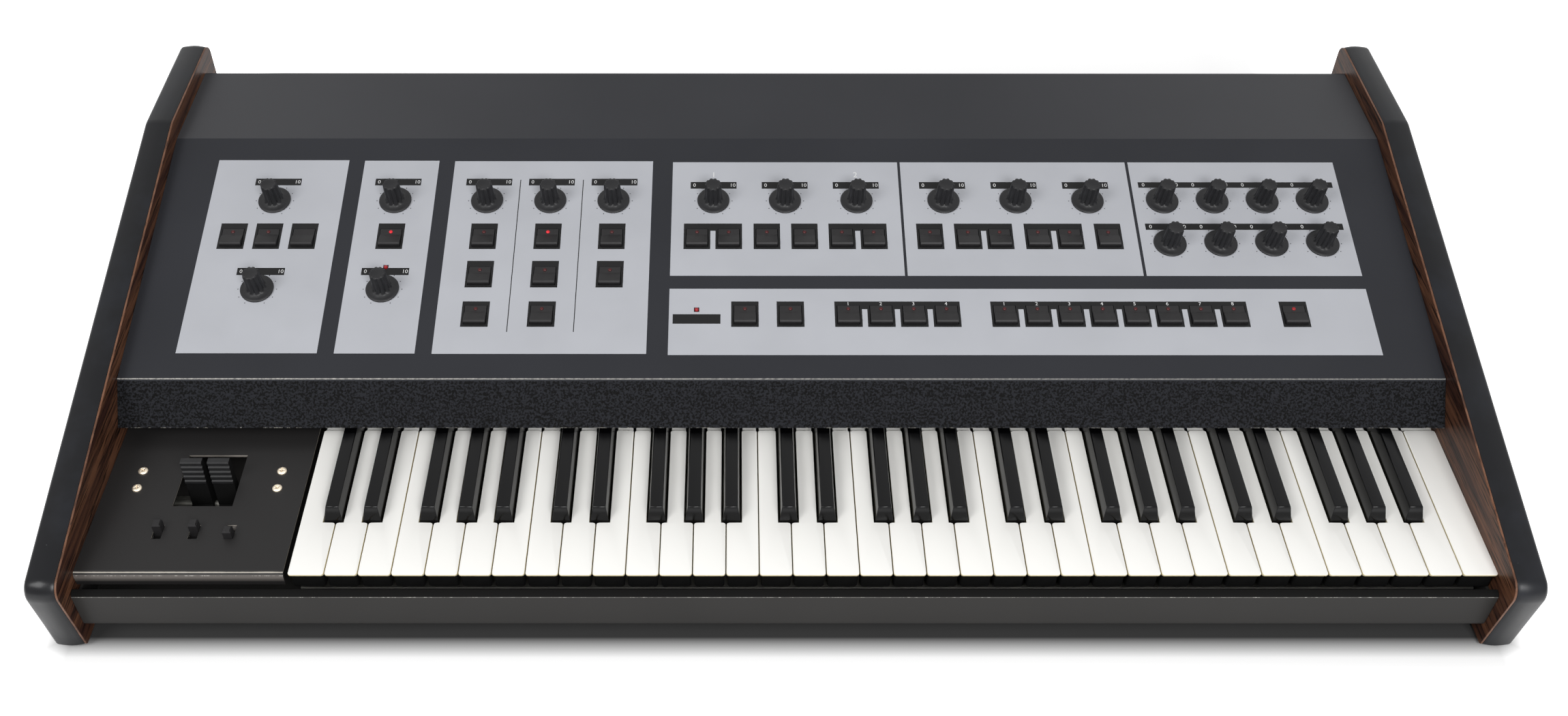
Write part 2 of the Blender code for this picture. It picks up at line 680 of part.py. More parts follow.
def make_keyboard(ivory, ebony, steel):
    """The moving octave's keys, and the key frame with its pivot bar and the other keys."""
    axis = place("key_axis", None, None, (FIRST_KEY, KEY_FRONT + KEY_PIVOT, PIVOT_HEIGHT))
    drop = KEY_UNDERSIDE - PIVOT_HEIGHT - PIVOT_BAR
    bore = PIVOT_BAR + PIVOT_PLAY
    saddle = [(bore * math.cos(turn), bore * math.sin(turn))
              for turn in (math.pi * step / 8 for step in range(9))]
    saddle += [(-bore, drop), (bore, drop)]
    groove = Shape().prism(saddle, "X", -KEY_PITCH, (WHITE_COUNT + 1) * KEY_PITCH)
    groove = groove.finish("pivot_groove", parent=axis)
    fixed = Shape()
    for index in range(WHITE_COUNT):
        octave, note = divmod(index, WHITES)
        moving = octave == MOVING_OCTAVE
        sharp = BLACK_OFFSETS.get(note + 1)
        if moving:
            key = add_white_key(Shape(), index)
            key = key.finish(f"key_{WHITE_NAMES[note]}", ivory, axis, (index * KEY_PITCH, 0.0, 0.0))
            combine(key, groove, "DIFFERENCE")
        else:
            add_white_key(fixed, index, index * KEY_PITCH)
        if sharp is None or index == WHITE_COUNT - 1:
            continue
        place_x = (index + 1) * KEY_PITCH + sharp
        if moving:
            key = add_black_key(Shape())
            key = key.finish(f"key_{WHITE_NAMES[note]}_sharp", ebony, axis, (place_x, 0.0, 0.0))
            combine(key, groove, "DIFFERENCE")
        else:
            add_black_key(fixed, place_x)
    fixed = fixed.finish("fixed_keys", parent=axis)

    floor = PAN_FLOOR + SEAT_GAP
    left, right = FIRST_KEY, RIGHT - SHEET - BEND - 2 * SEAT_GAP
    pivot = KEY_FRONT + KEY_PIVOT
    bed = floor + SHEET
    tray = [
        (STOP_RAIL[0], floor), (REAR_RAIL[1], floor), (REAR_RAIL[1], RAIL_TOP),
        (REAR_RAIL[0], RAIL_TOP), (REAR_RAIL[0], bed), (STOP_RAIL[1], bed),
        (STOP_RAIL[1], RAIL_TOP), (STOP_RAIL[0], RAIL_TOP),
    ]
    section = [(KEY_FRONT + y, z) for y, z in tray]
    frame = Shape().prism(section, "X", left, right).finish("key_frame", steel)
    low = FIRST_KEY + MOVING_OCTAVE * OCTAVE_SPAN
    high = low + OCTAVE_SPAN
    bar = circle(PIVOT_BAR, 12, (pivot, PIVOT_HEIGHT), math.pi / 12)
    web = PIVOT_WEB / 2
    carrier = Shape().prism(bar, "X", low, high)
    carrier.box((low, pivot - web, RAIL_TOP - SHEET), (high, pivot + web, PIVOT_HEIGHT))
    combine(frame, carrier.finish("pivot_carrier"), "UNION")
    seats = Shape()
    for start, end in ((left, low), (high, right)):
        seats.box((start, pivot - SEAT_WIDTH / 2, RAIL_TOP - SHEET),
                  (end, pivot + SEAT_WIDTH / 2, KEY_UNDERSIDE + SHEET))
    combine(frame, seats.finish("key_seats"), "UNION")
    combine(frame, fixed, "UNION")


def make_bender(plate_paint, lever_plastic, bracket_steel):
    """The plate left of the keys, its two ribbed levers, their bracket and three slide switches."""
    path = [
        (BLACK_BACK, KEY_TOP),
        (PLATE_FRONT, KEY_TOP),
        (PLATE_FRONT, KEY_TOP - PLATE_LIP),
    ]
    section = [(KEY_FRONT + y, z) for y, z in folded_sheet(path)]
    plate = Shape().prism(section, "X", LEFT + SEAT_GAP, LEFT + PLATE_WIDTH)
    plate = plate.finish("bender_plate", plate_paint)

    line = KEY_FRONT + SWITCH_LINE
    columns = [LEFT + CUTOUT_CENTRE[0] + step * SWITCH_PITCH for step in (-1, 0, 1)]
    bodies = Shape()
    slots = Shape()
    half_slot = [side / 2 for side in SWITCH_SLOT]
    half_body = [side / 2 for side in SWITCH_BODY[:2]]
    pocket = KEY_TOP - SHEET - SWITCH_BODY[2] / 2
    for column in columns:
        bodies.box((column - half_body[0], line - half_body[1], KEY_TOP - SHEET - SWITCH_BODY[2]),
                   (column + half_body[0], line + half_body[1], KEY_TOP - SHEET / 2))
        slots.box((column - half_slot[0], line - half_slot[1], pocket),
                  (column + half_slot[0], line + half_slot[1], KEY_TOP + SHEET))
    middle = (LEFT + CUTOUT_CENTRE[0], KEY_FRONT + CUTOUT_CENTRE[1])
    half_cut = [side / 2 for side in CUTOUT_SIZE]
    slots.box((middle[0] - half_cut[0], middle[1] - half_cut[1], KEY_TOP - 2 * SHEET),
              (middle[0] + half_cut[0], middle[1] + half_cut[1], KEY_TOP + SHEET))
    combine(plate, bodies.finish("switch_bodies"), "UNION")
    combine(plate, slots.finish("plate_openings"), "DIFFERENCE")

    names = ("oscillator_switch", "range_switch", "octave_switch")
    play = (SWITCH_SLOT[1] - SWITCH_TRAVEL) / 2 - SIDE_GAP
    reach = SWITCH_SLOT[0] / 2 - SIDE_GAP
    top_play, top_reach = play - SWITCH_CHAMFER / 2, reach - SWITCH_CHAMFER / 2
    for name, column, end in zip(names, columns, (1, 1, -1)):
        slider = Shape().loft([
            lift(rectangle((-reach, -play), (reach, play)), "Z", pocket + SEAT_GAP - KEY_TOP),
            lift(rectangle((-reach, -play), (reach, play)), "Z", SWITCH_HEIGHT - SWITCH_CHAMFER),
            lift(rectangle((-top_reach, -top_play), (top_reach, top_play)), "Z", SWITCH_HEIGHT),
        ])
        slider.finish(name, lever_plastic, None,
                      (column, line + end * SWITCH_TRAVEL / 2, KEY_TOP))

    make_levers(middle, lever_plastic, bracket_steel)


def make_levers(middle, plastic, steel):
    """Two levers whose hubs turn on a shaft held by a U-shaped bracket under the plate."""
    bore = LEVER_SHAFT + LEVER_PLAY
    height = LEVER_TOP - LEVER_PIVOT
    half = LEVER_THICK / 2
    ribbed = []
    for rib in range(RIB_COUNT):
        top = height - rib * RIB_PITCH
        ribbed += [
            (-half, top),
            (-half - RIB_DEPTH, top - RIB_SLOPE),
            (-half - RIB_DEPTH, top - RIB_SLOPE - RIB_LENGTH),
            (-half, top - 2 * RIB_SLOPE - RIB_LENGTH),
        ]
    turns = [math.pi * (0.75 + 1.5 * step / 9) for step in range(10)]
    hub = [(LEVER_HUB * math.cos(turn), LEVER_HUB * math.sin(turn)) for turn in turns]
    side_view = [(half, height), *ribbed, *hub]
    for name, column in zip(("bend_lever", "modulation_lever"), LEVER_CENTRES):
        spot = (LEFT + column, middle[1], LEVER_PIVOT)
        lever = Shape().prism(side_view, "X", -LEVER_WIDTH / 2, LEVER_WIDTH / 2)
        lever = lever.finish(name, plastic, location=spot)
        hole = Shape().prism(circle(bore, 12, phase=math.pi / 12), "X", -LEVER_WIDTH, LEVER_WIDTH)
        combine(lever, hole.finish(f"{name}_bore", location=spot), "DIFFERENCE")

    wall = BRACKET_SPAN / 2
    ear = wall + BRACKET_EAR
    under = KEY_TOP - SHEET - SEAT_GAP
    path = [
        (middle[0] + ear, under), (middle[0] + wall, under),
        (middle[0] + wall, BRACKET_FLOOR + SHEET), (middle[0] - wall, BRACKET_FLOOR + SHEET),
        (middle[0] - wall, under), (middle[0] - ear, under),
    ]
    section = folded_sheet(path)
    bracket = Shape().prism(section, "Y", middle[1] - BRACKET_DEPTH / 2,
                            middle[1] + BRACKET_DEPTH / 2)
    bracket = bracket.finish("lever_bracket", steel)
    shaft = Shape().prism(circle(LEVER_SHAFT, 12, (middle[1], LEVER_PIVOT), math.pi / 12),
                          "X", middle[0] - wall - SHEET / 2, middle[0] + wall + SHEET / 2)
    combine(bracket, shaft.finish("lever_shaft"), "UNION")


def make_base(paint, steel):
    """The front rail, the base pan on its four feet and the rear panel with its sockets."""
    front_path = [
        (-RAIL_FACE + RAIL_LIP, FRONT_RAIL_TOP), (-RAIL_FACE, FRONT_RAIL_TOP),
        (-RAIL_FACE, BASE_LIFT), (-RAIL_FACE + RAIL_FOOT, BASE_LIFT),
    ]
    extrude_between_cheeks("front_rail", front_path, paint)

    edge = LEFT + SEAT_GAP
    path = [(edge, PAN_UNDER + PAN_FLANGE), (edge, PAN_UNDER),
            (-edge, PAN_UNDER), (-edge, PAN_UNDER + PAN_FLANGE)]
    pan_front = KEY_FRONT - RAIL_FACE + SHEET + BEND + SEAT_GAP
    pan_back = KEY_FRONT + BACK_FACE - SHEET - BEND - SEAT_GAP
    pan = Shape().prism(folded_sheet(path), "Y", pan_front, pan_back)
    pan = pan.finish("base_pan", steel)
    feet = Shape()
    for side in (-1, 1):
        for row in (pan_front + FOOT_INSET[1], pan_back - FOOT_INSET[1]):
            centre = (side * (RIGHT - FOOT_INSET[0]), row)
            feet.loft([
                lift(circle(FOOT_RADIUS - FOOT_TAPER, 12, centre), "Z", 0.0),
                lift(circle(FOOT_RADIUS, 12, centre), "Z", PAN_UNDER + SHEET / 2),
            ])
    combine(pan, feet.finish("feet"), "UNION")

    under = DECK_FRONT[1] - SHEET - SEAT_GAP
    back_path = [
        (BACK_FACE - RAIL_FOOT, BASE_LIFT), (BACK_FACE, BASE_LIFT),
        (BACK_FACE, under), (BACK_FACE - HEM, under),
    ]
    back = extrude_between_cheeks("rear_panel", back_path, paint)
    face = KEY_FRONT + BACK_FACE
    nuts = Shape()
    bores = Shape()
    for jack in range(JACK_COUNT):
        centre = (LEFT + JACK_START + jack * JACK_PITCH, JACK_HEIGHT)
        nuts.prism(circle(JACK_NUT, 6, centre), "Y", face - SHEET / 2, face + JACK_PROUD)
        bores.prism(circle(JACK_BORE, 8, centre), "Y", face + SEAT_GAP, face + 2 * JACK_PROUD)
    combine(back, nuts.finish("jack_nuts"), "UNION")
    combine(back, bores.finish("jack_bores"), "DIFFERENCE")
    centre = (RIGHT - INLET_INSET, INLET_HEIGHT)
    half = [side / 2 + SEAT_GAP for side in INLET_SIZE]
    window = Shape().box((centre[0] - half[0], face - 2 * SHEET, centre[1] - half[1]),
                         (centre[0] + half[0], face + SHEET, centre[1] + half[1]))
    combine(back, window.finish("inlet_window"), "DIFFERENCE")


def make_inlet(plastic):
    """The mains inlet: a flanged socket with three blades at the bottom of its recess."""
    face = KEY_FRONT + BACK_FACE + SEAT_GAP
    centre = (RIGHT - INLET_INSET, INLET_HEIGHT)

    def outline(size, chamfer):
        x, z = size[0] / 2, size[1] / 2
        corners = [(-x, -z), (x, -z), (x, z - chamfer), (x - chamfer, z),
                   (-x + chamfer, z), (-x, z - chamfer)]
        return [(centre[0] + a, centre[1] + b) for a, b in corners]

    wall = SHEET
    room = (INLET_SIZE[0] - 2 * wall, INLET_SIZE[1] - 2 * wall)
    inlet = Shape().prism(outline(INLET_FLANGE, CAP_THICK), "Y", face, face + SHEET)
    inlet = inlet.finish("mains_inlet", plastic)
    body = Shape().prism(outline(INLET_SIZE, CAP_THICK), "Y", face - INLET_DEPTH, face + SHEET / 2)
    combine(inlet, body.finish("inlet_body"), "UNION")
    recess = Shape().prism(outline(room, CAP_THICK), "Y", face - INLET_DEPTH + wall, face + 2 * SHEET)
    combine(inlet, recess.finish("inlet_recess"), "DIFFERENCE")
    blades = Shape()
    for side, up in ((-1, -1), (0, 1), (1, -1)):
        x = centre[0] + side * BLADE_SPREAD
        z = centre[1] + up * BLADE_RISE
        blades.box((x - wall / 2, face - INLET_DEPTH + wall / 2, z - wall),
                   (x + wall / 2, face - INLET_DEPTH / 2, z + wall))
    combine(inlet, blades.finish("inlet_blades"), "UNION")


def make_inside(board_paint, steel):
    """The main circuit board on its stand-offs and the mains transformer."""
    floor = PAN_FLOOR + SEAT_GAP
    half = [MAIN_BOARD_WIDTH / 2, MAIN_BOARD_DEPTH / 2]
    x, y = LEFT + MAIN_BOARD_INSET + half[0], MAIN_BOARD_ROW
    lift_off = floor + MAIN_BOARD_LIFT
    board = Shape().box((x - half[0], y - half[1], lift_off),
                        (x + half[0], y + half[1], lift_off + BOARD))
    board = board.finish("main_board", board_paint)
    posts = Shape()
    inset = POST_RADIUS * 2
    for side in (-1, 1):
        for end in (-1, 1):
            centre = (x + side * (half[0] - inset), y + end * (half[1] - inset))
            posts.prism(circle(POST_RADIUS, 8, centre), "Z", floor, lift_off + BOARD / 2)
    combine(board, posts.finish("board_posts"), "UNION")

    x, y = RIGHT - TRANSFORMER_INSET, TRANSFORMER_ROW
    half = [side / 2 for side in CORE_SIZE[:2]]
    core = Shape().box((x - half[0], y - half[1], floor),
                       (x + half[0], y + half[1], floor + CORE_SIZE[2]))
    core = core.finish("power_transformer", steel)
    half = [side / 2 for side in COIL_SIZE[:2]]
    middle = floor + CORE_SIZE[2] / 2
    corners = rectangle((x - half[0], middle - COIL_SIZE[2] / 2),
                        (x + half[0], middle + COIL_SIZE[2] / 2))
    outline = rounded_outline(corners, [COIL_ROUND] * 4, 3)
    coil = Shape().prism(outline, "Y", y - half[1], y + half[1])
    combine(core, coil.finish("transformer_coil"), "UNION")


def main():
    """Builds the whole synthesizer."""
    for piece in list(bpy.data.objects):
        bpy.data.objects.remove(piece)
    wood = make_material("walnut veneer", 0.10, 0.035, 0.020, 0.45)
    moulding = make_material("black vinyl moulding", 0.012, 0.012, 0.015, 0.35)
    paint = make_material("charcoal enamel", 0.045, 0.046, 0.050, 0.50)
    plate_paint = make_material("black textured enamel", 0.022, 0.022, 0.023, 0.60)
    steel = make_material("zinc-plated steel", 0.45, 0.45, 0.43, 0.40, 1.0)
    ivory = make_material("white acrylic", 0.86, 0.85, 0.80, 0.22)
    ebony = make_material("black acrylic", 0.010, 0.010, 0.011, 0.15)
    plastic = make_material("black moulded plastic", 0.018, 0.018, 0.019, 0.50)
    board_paint = make_material("circuit board laminate", 0.02, 0.10, 0.04, 0.50)

    make_cheek(-1, "left", wood, moulding)
    make_cheek(1, "right", wood, moulding)
    face = place("panel_face", None, None, (LEFT, KEY_FRONT + PANEL_FOLD[0], PANEL_FOLD[1]))
    face.rotation_euler = (PANEL_SLOPE, 0.0, 0.0)
    make_panel(face, paint)
    make_panel_board(face, board_paint)
    make_knobs(face, plastic)
    make_buttons(face, plastic)
    make_keyboard(ivory, ebony, steel)
    make_bender(plate_paint, plastic, steel)
    make_base(paint, steel)
    make_inlet(plastic)
    make_inside(board_paint, steel)


main()
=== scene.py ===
# %% [markdown]
# # An analog synthesizer
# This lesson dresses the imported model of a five-octave analog synthesizer, a keyboard
# instrument in a folded sheet-metal case between two wooden cheeks. The model comes in
# as a fixed frame in metres, and every piece made here rides on one of its bodies, so
# that keys, knobs, buttons and levers still move.

# %% Load the frame and keep its size
import math
import bmesh
import bpy
from mathutils import Matrix, Vector


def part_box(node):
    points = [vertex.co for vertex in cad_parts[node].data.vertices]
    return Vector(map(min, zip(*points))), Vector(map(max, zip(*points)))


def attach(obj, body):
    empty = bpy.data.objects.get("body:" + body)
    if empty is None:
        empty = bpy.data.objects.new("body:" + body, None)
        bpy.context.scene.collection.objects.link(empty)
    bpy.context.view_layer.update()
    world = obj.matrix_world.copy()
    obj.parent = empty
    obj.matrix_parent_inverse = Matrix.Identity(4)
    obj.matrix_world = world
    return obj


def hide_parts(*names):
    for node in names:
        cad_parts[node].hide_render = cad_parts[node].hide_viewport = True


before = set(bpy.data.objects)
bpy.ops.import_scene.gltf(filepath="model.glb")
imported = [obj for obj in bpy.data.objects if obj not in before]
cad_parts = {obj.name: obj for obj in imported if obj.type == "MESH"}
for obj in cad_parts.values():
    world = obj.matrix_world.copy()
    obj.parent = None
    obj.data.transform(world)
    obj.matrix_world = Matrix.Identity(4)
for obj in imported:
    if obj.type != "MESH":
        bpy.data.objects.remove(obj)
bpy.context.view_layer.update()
MM = 0.001

# %% [markdown]
# ## Where things are
# A few measures are read from the frame and used all through: the front edge and the top
# of the keys and the inner faces of the cheeks. The panel slopes up from a fold that is
# 155 mm behind the key fronts. Places on it are given across from the left cheek and up
# the slope, as a maker marks them out on the sheet. The columns are thousandths of the
# width between the cheeks, because they were read off the picture that way.

# %% The panel's own ruler
KEY_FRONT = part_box("key_c")[0].y
KEY_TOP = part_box("key_c")[1].z
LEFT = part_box("left_cheek")[1].x
INNER = -2 * LEFT
SLOPE = math.radians(13.6)
FOLD_HEIGHT = KEY_TOP + 42.2 * MM
on_panel = (Matrix.Translation((LEFT, KEY_FRONT + 155 * MM, FOLD_HEIGHT))
            @ Matrix.Rotation(SLOPE, 4, "X"))


def column_at(part):
    return INNER / MM * part / 1000


print("between the cheeks:", round(INNER / MM, 1), "mm")

# %% [markdown]
# ## Small helpers
# Colours are picked as sRGB hex values, the way a colour picker shows them, but shaders
# count in linear light, so one function turns them. Another adds a shader node. Its inputs
# come in the order in which Blender shows them on the node, each as a value or a link, and
# it gives back one output: the one that is named, or else the first. So a mix takes a share
# and two ends, a noise takes a place, its scale, detail and roughness, and a bump takes
# strength, depth, filter width and height. A map range takes a value, the two levels that
# it comes between and the two that it goes to, which are 0 and 1 where none are given.

# %% Colours and nodes
def linear(hex_colour, strength=1.0):
    channels = [int(hex_colour[at:at + 2], 16) / 255 for at in (1, 3, 5)]
    light = [c / 12.92 if c <= 0.04045 else ((c + 0.055) / 1.055) ** 2.4 for c in channels]
    return (*(min(1.0, c * strength) for c in light), 1.0)


def add_node(tree, kind, *inputs, output=None, **settings):
    node = tree.nodes.new("ShaderNode" + kind)
    for name, value in settings.items():
        setattr(node, name, value)
    shown = [socket for socket in node.inputs if socket.enabled]
    for socket, value in zip(shown, inputs):
        if isinstance(value, bpy.types.NodeSocket):
            tree.links.new(value, socket)
        else:
            socket.default_value = value
    return node.outputs[output] if output else next(out for out in node.outputs if out.enabled)


def per_metre(millimetres):
    return 1 / (millimetres * MM)


# %% [markdown]
# ## The camera
# The photograph is taken from above the keyboard, standing a little left of the middle.
# A wide lens of 35 mm spreads the near corners, and its small shift puts the instrument
# where the picture has it. The place comes from matching the keys and the cheeks.

# %% Stand the camera in front
TILT = 45.47
view = bpy.data.cameras.new("view")
view.sensor_fit = "HORIZONTAL"
view.sensor_width = 36.0
view.lens = 35.31
view.shift_x = 0.0304
view.shift_y = 0.0105
camera = bpy.data.objects.new("view", view)
bpy.context.scene.collection.objects.link(camera)
camera.location = (-0.0354, -0.9116, 0.918)
camera.rotation_euler = (math.radians(TILT), math.radians(-0.05), math.radians(-0.03))
bpy.context.scene.camera = camera
bpy.context.scene.view_settings.view_transform = "Standard"
print("the camera looks down at", round(90 - TILT, 1), "degrees")

# %% [markdown]
# ## Floor and light
# The backdrop is pure white paper, which the camera and all reflections see as white. The
# floor is white matt board. Close under the case its colour is painted dark, a painted
# shadow that deepens the real one, and away from the case it glows by itself, so that it
# reaches white while the shadow under the front stays. That glow is only for the camera
# and reflections, and light that bounces meets a board half as pale, so the floor adds
# little light to the instrument. As a lamp, the room is dim: a little light comes from all
# round, and two large soft boxes in front give the rest, so that a colour comes out about
# as it is written.

# %% Lay the floor
SIDE, FRONT = 525 * MM, 266 * MM


def to_viewer(tree):
    """1 for what the camera sees, straight or in metal and gloss, and 0 for light."""
    straight = add_node(tree, "LightPath", output="Is Camera Ray")
    mirrored = add_node(tree, "LightPath", output="Is Glossy Ray")
    through = add_node(tree, "LightPath", output="Is Transmission Ray")
    seen = add_node(tree, "Math", straight, mirrored, operation="MAXIMUM")
    return add_node(tree, "Math", seen, through, operation="MAXIMUM")


paper = bpy.data.materials.new("white paper floor")
paper.use_nodes = True
tree = paper.node_tree
board = tree.nodes["Principled BSDF"]
board.inputs["Roughness"].default_value = 0.9
board.inputs["Specular IOR Level"].default_value = 0.1
board.inputs["Emission Color"].default_value = (1.0, 1.0, 1.0, 1.0)
spot = add_node(tree, "NewGeometry", output="Position")
spot = add_node(tree, "VectorMath", spot, operation="ABSOLUTE")
across = add_node(tree, "SeparateXYZ", spot, output="X")
along = add_node(tree, "SeparateXYZ", spot, output="Y")
# Painted shadow: the board's own colour is dark close under the case and pale beyond it.
beside = add_node(tree, "MapRange", across, SIDE - 10 * MM, SIDE + 20 * MM)
clear = add_node(tree, "MapRange", along, FRONT - 16 * MM, FRONT + 2 * MM, 0.04)
clear = add_node(tree, "Math", clear, beside, operation="MAXIMUM")
plain = add_node(tree, "MapRange", to_viewer(tree), 0.0, 1.0, 0.5)
clear = add_node(tree, "Math", clear, plain, operation="MULTIPLY")
painted_shadow = add_node(tree, "Mix", clear, linear("#0b0b0b"), linear("#fcfcfc"), data_type="RGBA")
tree.links.new(painted_shadow, board.inputs["Base Color"])
ahead = add_node(tree, "MapRange", along, FRONT - 4 * MM, FRONT + 44 * MM)
beside = add_node(tree, "Math", beside, 0.9, operation="MULTIPLY")
ahead = add_node(tree, "Math", ahead, 0.45, beside, operation="MULTIPLY_ADD")
far = add_node(tree, "MapRange", along, 0.4, 0.9)
away = add_node(tree, "Math", ahead, far, operation="MAXIMUM")
glow = add_node(tree, "Math", to_viewer(tree), away, operation="MULTIPLY")
tree.links.new(glow, board.inputs["Emission Strength"])

flat = bmesh.new()
bmesh.ops.create_grid(flat, x_segments=1, y_segments=1, size=6.0)
data = bpy.data.meshes.new("floor")
flat.to_mesh(data)
flat.free()
floor = bpy.data.objects.new("floor", data)
bpy.context.scene.collection.objects.link(floor)
data.materials.append(paper)
print("the floor is", [round(side) for side in floor.dimensions[:2]], "m")

# %% Light the room and hang the lamps
world = bpy.data.worlds.new("white room")
bpy.context.scene.world = world
world.use_nodes = True
room = world.node_tree
level = add_node(room, "MapRange", to_viewer(room), 0.0, 1.0, 0.2)
room.links.new(level, room.nodes["Background"].inputs["Strength"])
room.nodes["Background"].inputs["Color"].default_value = (1.0, 1.0, 1.0, 1.0)

AIM = Vector((0.0, 0.0, 0.1))
for name, place, watts in (("key soft box", (0.5, -1.95, 1.75), 48.0),
                           ("left soft box", (-1.5, -1.3, 1.9), 25.0)):
    lamp = bpy.data.lights.new(name, "AREA")
    lamp.size = 1.0
    lamp.energy = watts
    holder = bpy.data.objects.new(name, lamp)
    bpy.context.scene.collection.objects.link(holder)
    holder.location = place
    holder.rotation_euler = (AIM - Vector(place)).to_track_quat("-Z", "Y").to_euler()
print("lamps hung:", [light.name for light in bpy.data.lights])

# %% [markdown]
# ## Finishes
# Each finish starts from what the real one is, so its gloss and its metal value are the
# ones that this stuff usually has. A finish is one Principled shader; where the surface
# varies, patterns are measured in millimetres in the piece's own space, so they stay put
# when the piece moves. Forty years of dust and fine scratches have taken about half of the
# sheen that new paint and plastic have, so the specular level stands at 0.28, not 0.5. It
# is lower still on the enamel of panel and rails, on key bodies and on black keys.

# %% Start a finish
AGED_SHEEN = 0.28


def new_finish(name, colour, roughness, ior=1.5, metallic=0.0, sheen=AGED_SHEEN):
    material = bpy.data.materials.new(name)
    material.use_nodes = True
    material.diffuse_color = linear(colour)
    shader = material.node_tree.nodes["Principled BSDF"]
    shader.inputs["Base Color"].default_value = linear(colour)
    shader.inputs["Roughness"].default_value = roughness
    shader.inputs["Metallic"].default_value = metallic
    if not metallic:
        shader.inputs["IOR"].default_value = ior
        shader.inputs["Specular IOR Level"].default_value = sheen
    tree = material.node_tree
    return material, tree, shader, add_node(tree, "TexCoord", output="Object")


# %% [markdown]
# ## Walnut veneer
# The cheeks' inner faces are boards faced with walnut veneer, sliced along the grain and
# lacquered satin. Dark pores 1.6 mm wide and 40 mm long run from front to back, drawn
# wider than real ones so that they show, and broader bands of growth lie 8 mm apart.
# Stretched noise gives both: space is squeezed along the grain before the noise looks it
# up. The cut edge, which shows upward and forward beside the black moulding, has lost its
# stain and shows pale wood.

# %% Make the veneer
def walnut_veneer(dark, light):
    material, tree, shader, place = new_finish("walnut veneer", light, 0.40, 1.42)
    along = add_node(tree, "Mapping", place, (0.0, 0.0, 0.0), (-0.05, 0.0, 0.0), (1.0, 0.04, 1.0))
    bands = add_node(tree, "TexNoise", along, per_metre(8.0), 3.0)
    bands = add_node(tree, "MapRange", bands, 0.38, 0.62)
    wood = add_node(tree, "Mix", bands, linear(dark), linear(light), data_type="RGBA")
    pores = add_node(tree, "TexNoise", along, per_metre(1.6), 3.0, 0.7)
    deep = add_node(tree, "MapRange", pores, 0.50, 0.62)
    wood = add_node(tree, "Mix", deep, wood, linear("#170c08"), data_type="RGBA")
    facing = add_node(tree, "NewGeometry", output="True Normal")
    across = add_node(tree, "SeparateXYZ", facing, output="X")
    across = add_node(tree, "Math", across, operation="ABSOLUTE")
    cut = add_node(tree, "MapRange", across, 0.75, 0.55)
    scuffs = add_node(tree, "TexNoise", place, per_metre(14.0), 3.0)
    scuffs = add_node(tree, "MapRange", scuffs, 0.4, 0.62, 0.3)
    cut = add_node(tree, "Math", cut, scuffs, operation="MULTIPLY")
    wood = add_node(tree, "Mix", cut, wood, linear("#7a5744"), data_type="RGBA")
    tree.links.new(wood, shader.inputs["Base Color"])
    filled = add_node(tree, "MapRange", pores, 0.62, 0.50)
    relief = add_node(tree, "Bump", 1.0, 0.03 * MM, 0.1, filled)
    tree.links.new(relief, shader.inputs["Normal"])
    return material


veneer = walnut_veneer("#3a231c", "#704b36")
print("veneer with", len(veneer.node_tree.nodes), "nodes")

# %% [markdown]
# ## Black vinyl moulding
# A rounded black moulding wraps the edge of each cheek. It is extruded vinyl with a satin
# skin, handled to a shine in broad patches, with a few pale knocks.

# %% Make the vinyl
def satin_vinyl(colour, rubbed):
    material, tree, shader, place = new_finish("black vinyl", colour, 0.30, 1.48)
    patches = add_node(tree, "TexNoise", place, per_metre(45.0), 4.0, 0.6)
    shiny = add_node(tree, "MapRange", patches, 0.45, 0.75)
    tone = add_node(tree, "Mix", shiny, linear(colour), linear(rubbed), data_type="RGBA")
    knocks = add_node(tree, "TexNoise", place, per_metre(5.0))
    knocks = add_node(tree, "MapRange", knocks, 0.78, 0.82)
    tone = add_node(tree, "Mix", knocks, tone, linear("#6a6c70"), data_type="RGBA")
    tree.links.new(tone, shader.inputs["Base Color"])
    tree.links.new(add_node(tree, "MapRange", patches, 0.3, 0.7, 0.24, 0.42),
                   shader.inputs["Roughness"])
    skin = add_node(tree, "TexNoise", place, per_metre(0.8))
    tree.links.new(add_node(tree, "Bump", 1.0, 0.01 * MM, 0.1, skin), shader.inputs["Normal"])
    return material


vinyl = satin_vinyl("#0a0b0f", "#16181e")
print("vinyl with", len(vinyl.node_tree.nodes), "nodes")

# %% [markdown]
# ## Charcoal enamel on folded steel
# The panel, deck and rails are steel sheet, sprayed and baked with charcoal enamel. The
# paint has a fine orange-peel of 0.5 mm. The strip over the keys is sprayed blacker and
# coarser, in grains of 1.6 mm. Its upper fold carries a thin bright line, most on the
# left: partly paint rubbed off to the steel, partly a painted highlight along the bend. Its
# lower edge is chipped in small spots. Masks by place pick these edges out: how near a
# height a point lies, times noise, says where the mark lies. A grey film lies on the level
# deck, thicker towards its ends: partly dust, where nobody wipes, and partly a painted
# sheen that stands for the deck's reflection there.

# %% Make the enamel and its wear
def baked_enamel(name, colour, grain=0.5, depth=0.02, roughness=0.46, sheen=AGED_SHEEN):
    material, tree, shader, place = new_finish(name, colour, roughness, sheen=sheen)
    cloud = add_node(tree, "TexNoise", place, per_metre(120.0))
    cloud = add_node(tree, "MapRange", cloud, 0.3, 0.7)
    tone = add_node(tree, "Mix", cloud, linear(colour), linear(colour, 1.18), data_type="RGBA")
    tree.links.new(tone, shader.inputs["Base Color"])
    peel = add_node(tree, "TexNoise", place, per_metre(grain))
    tree.links.new(add_node(tree, "Bump", 1.0, depth * MM, 0.1, peel), shader.inputs["Normal"])
    return material, tree, shader, place, tone


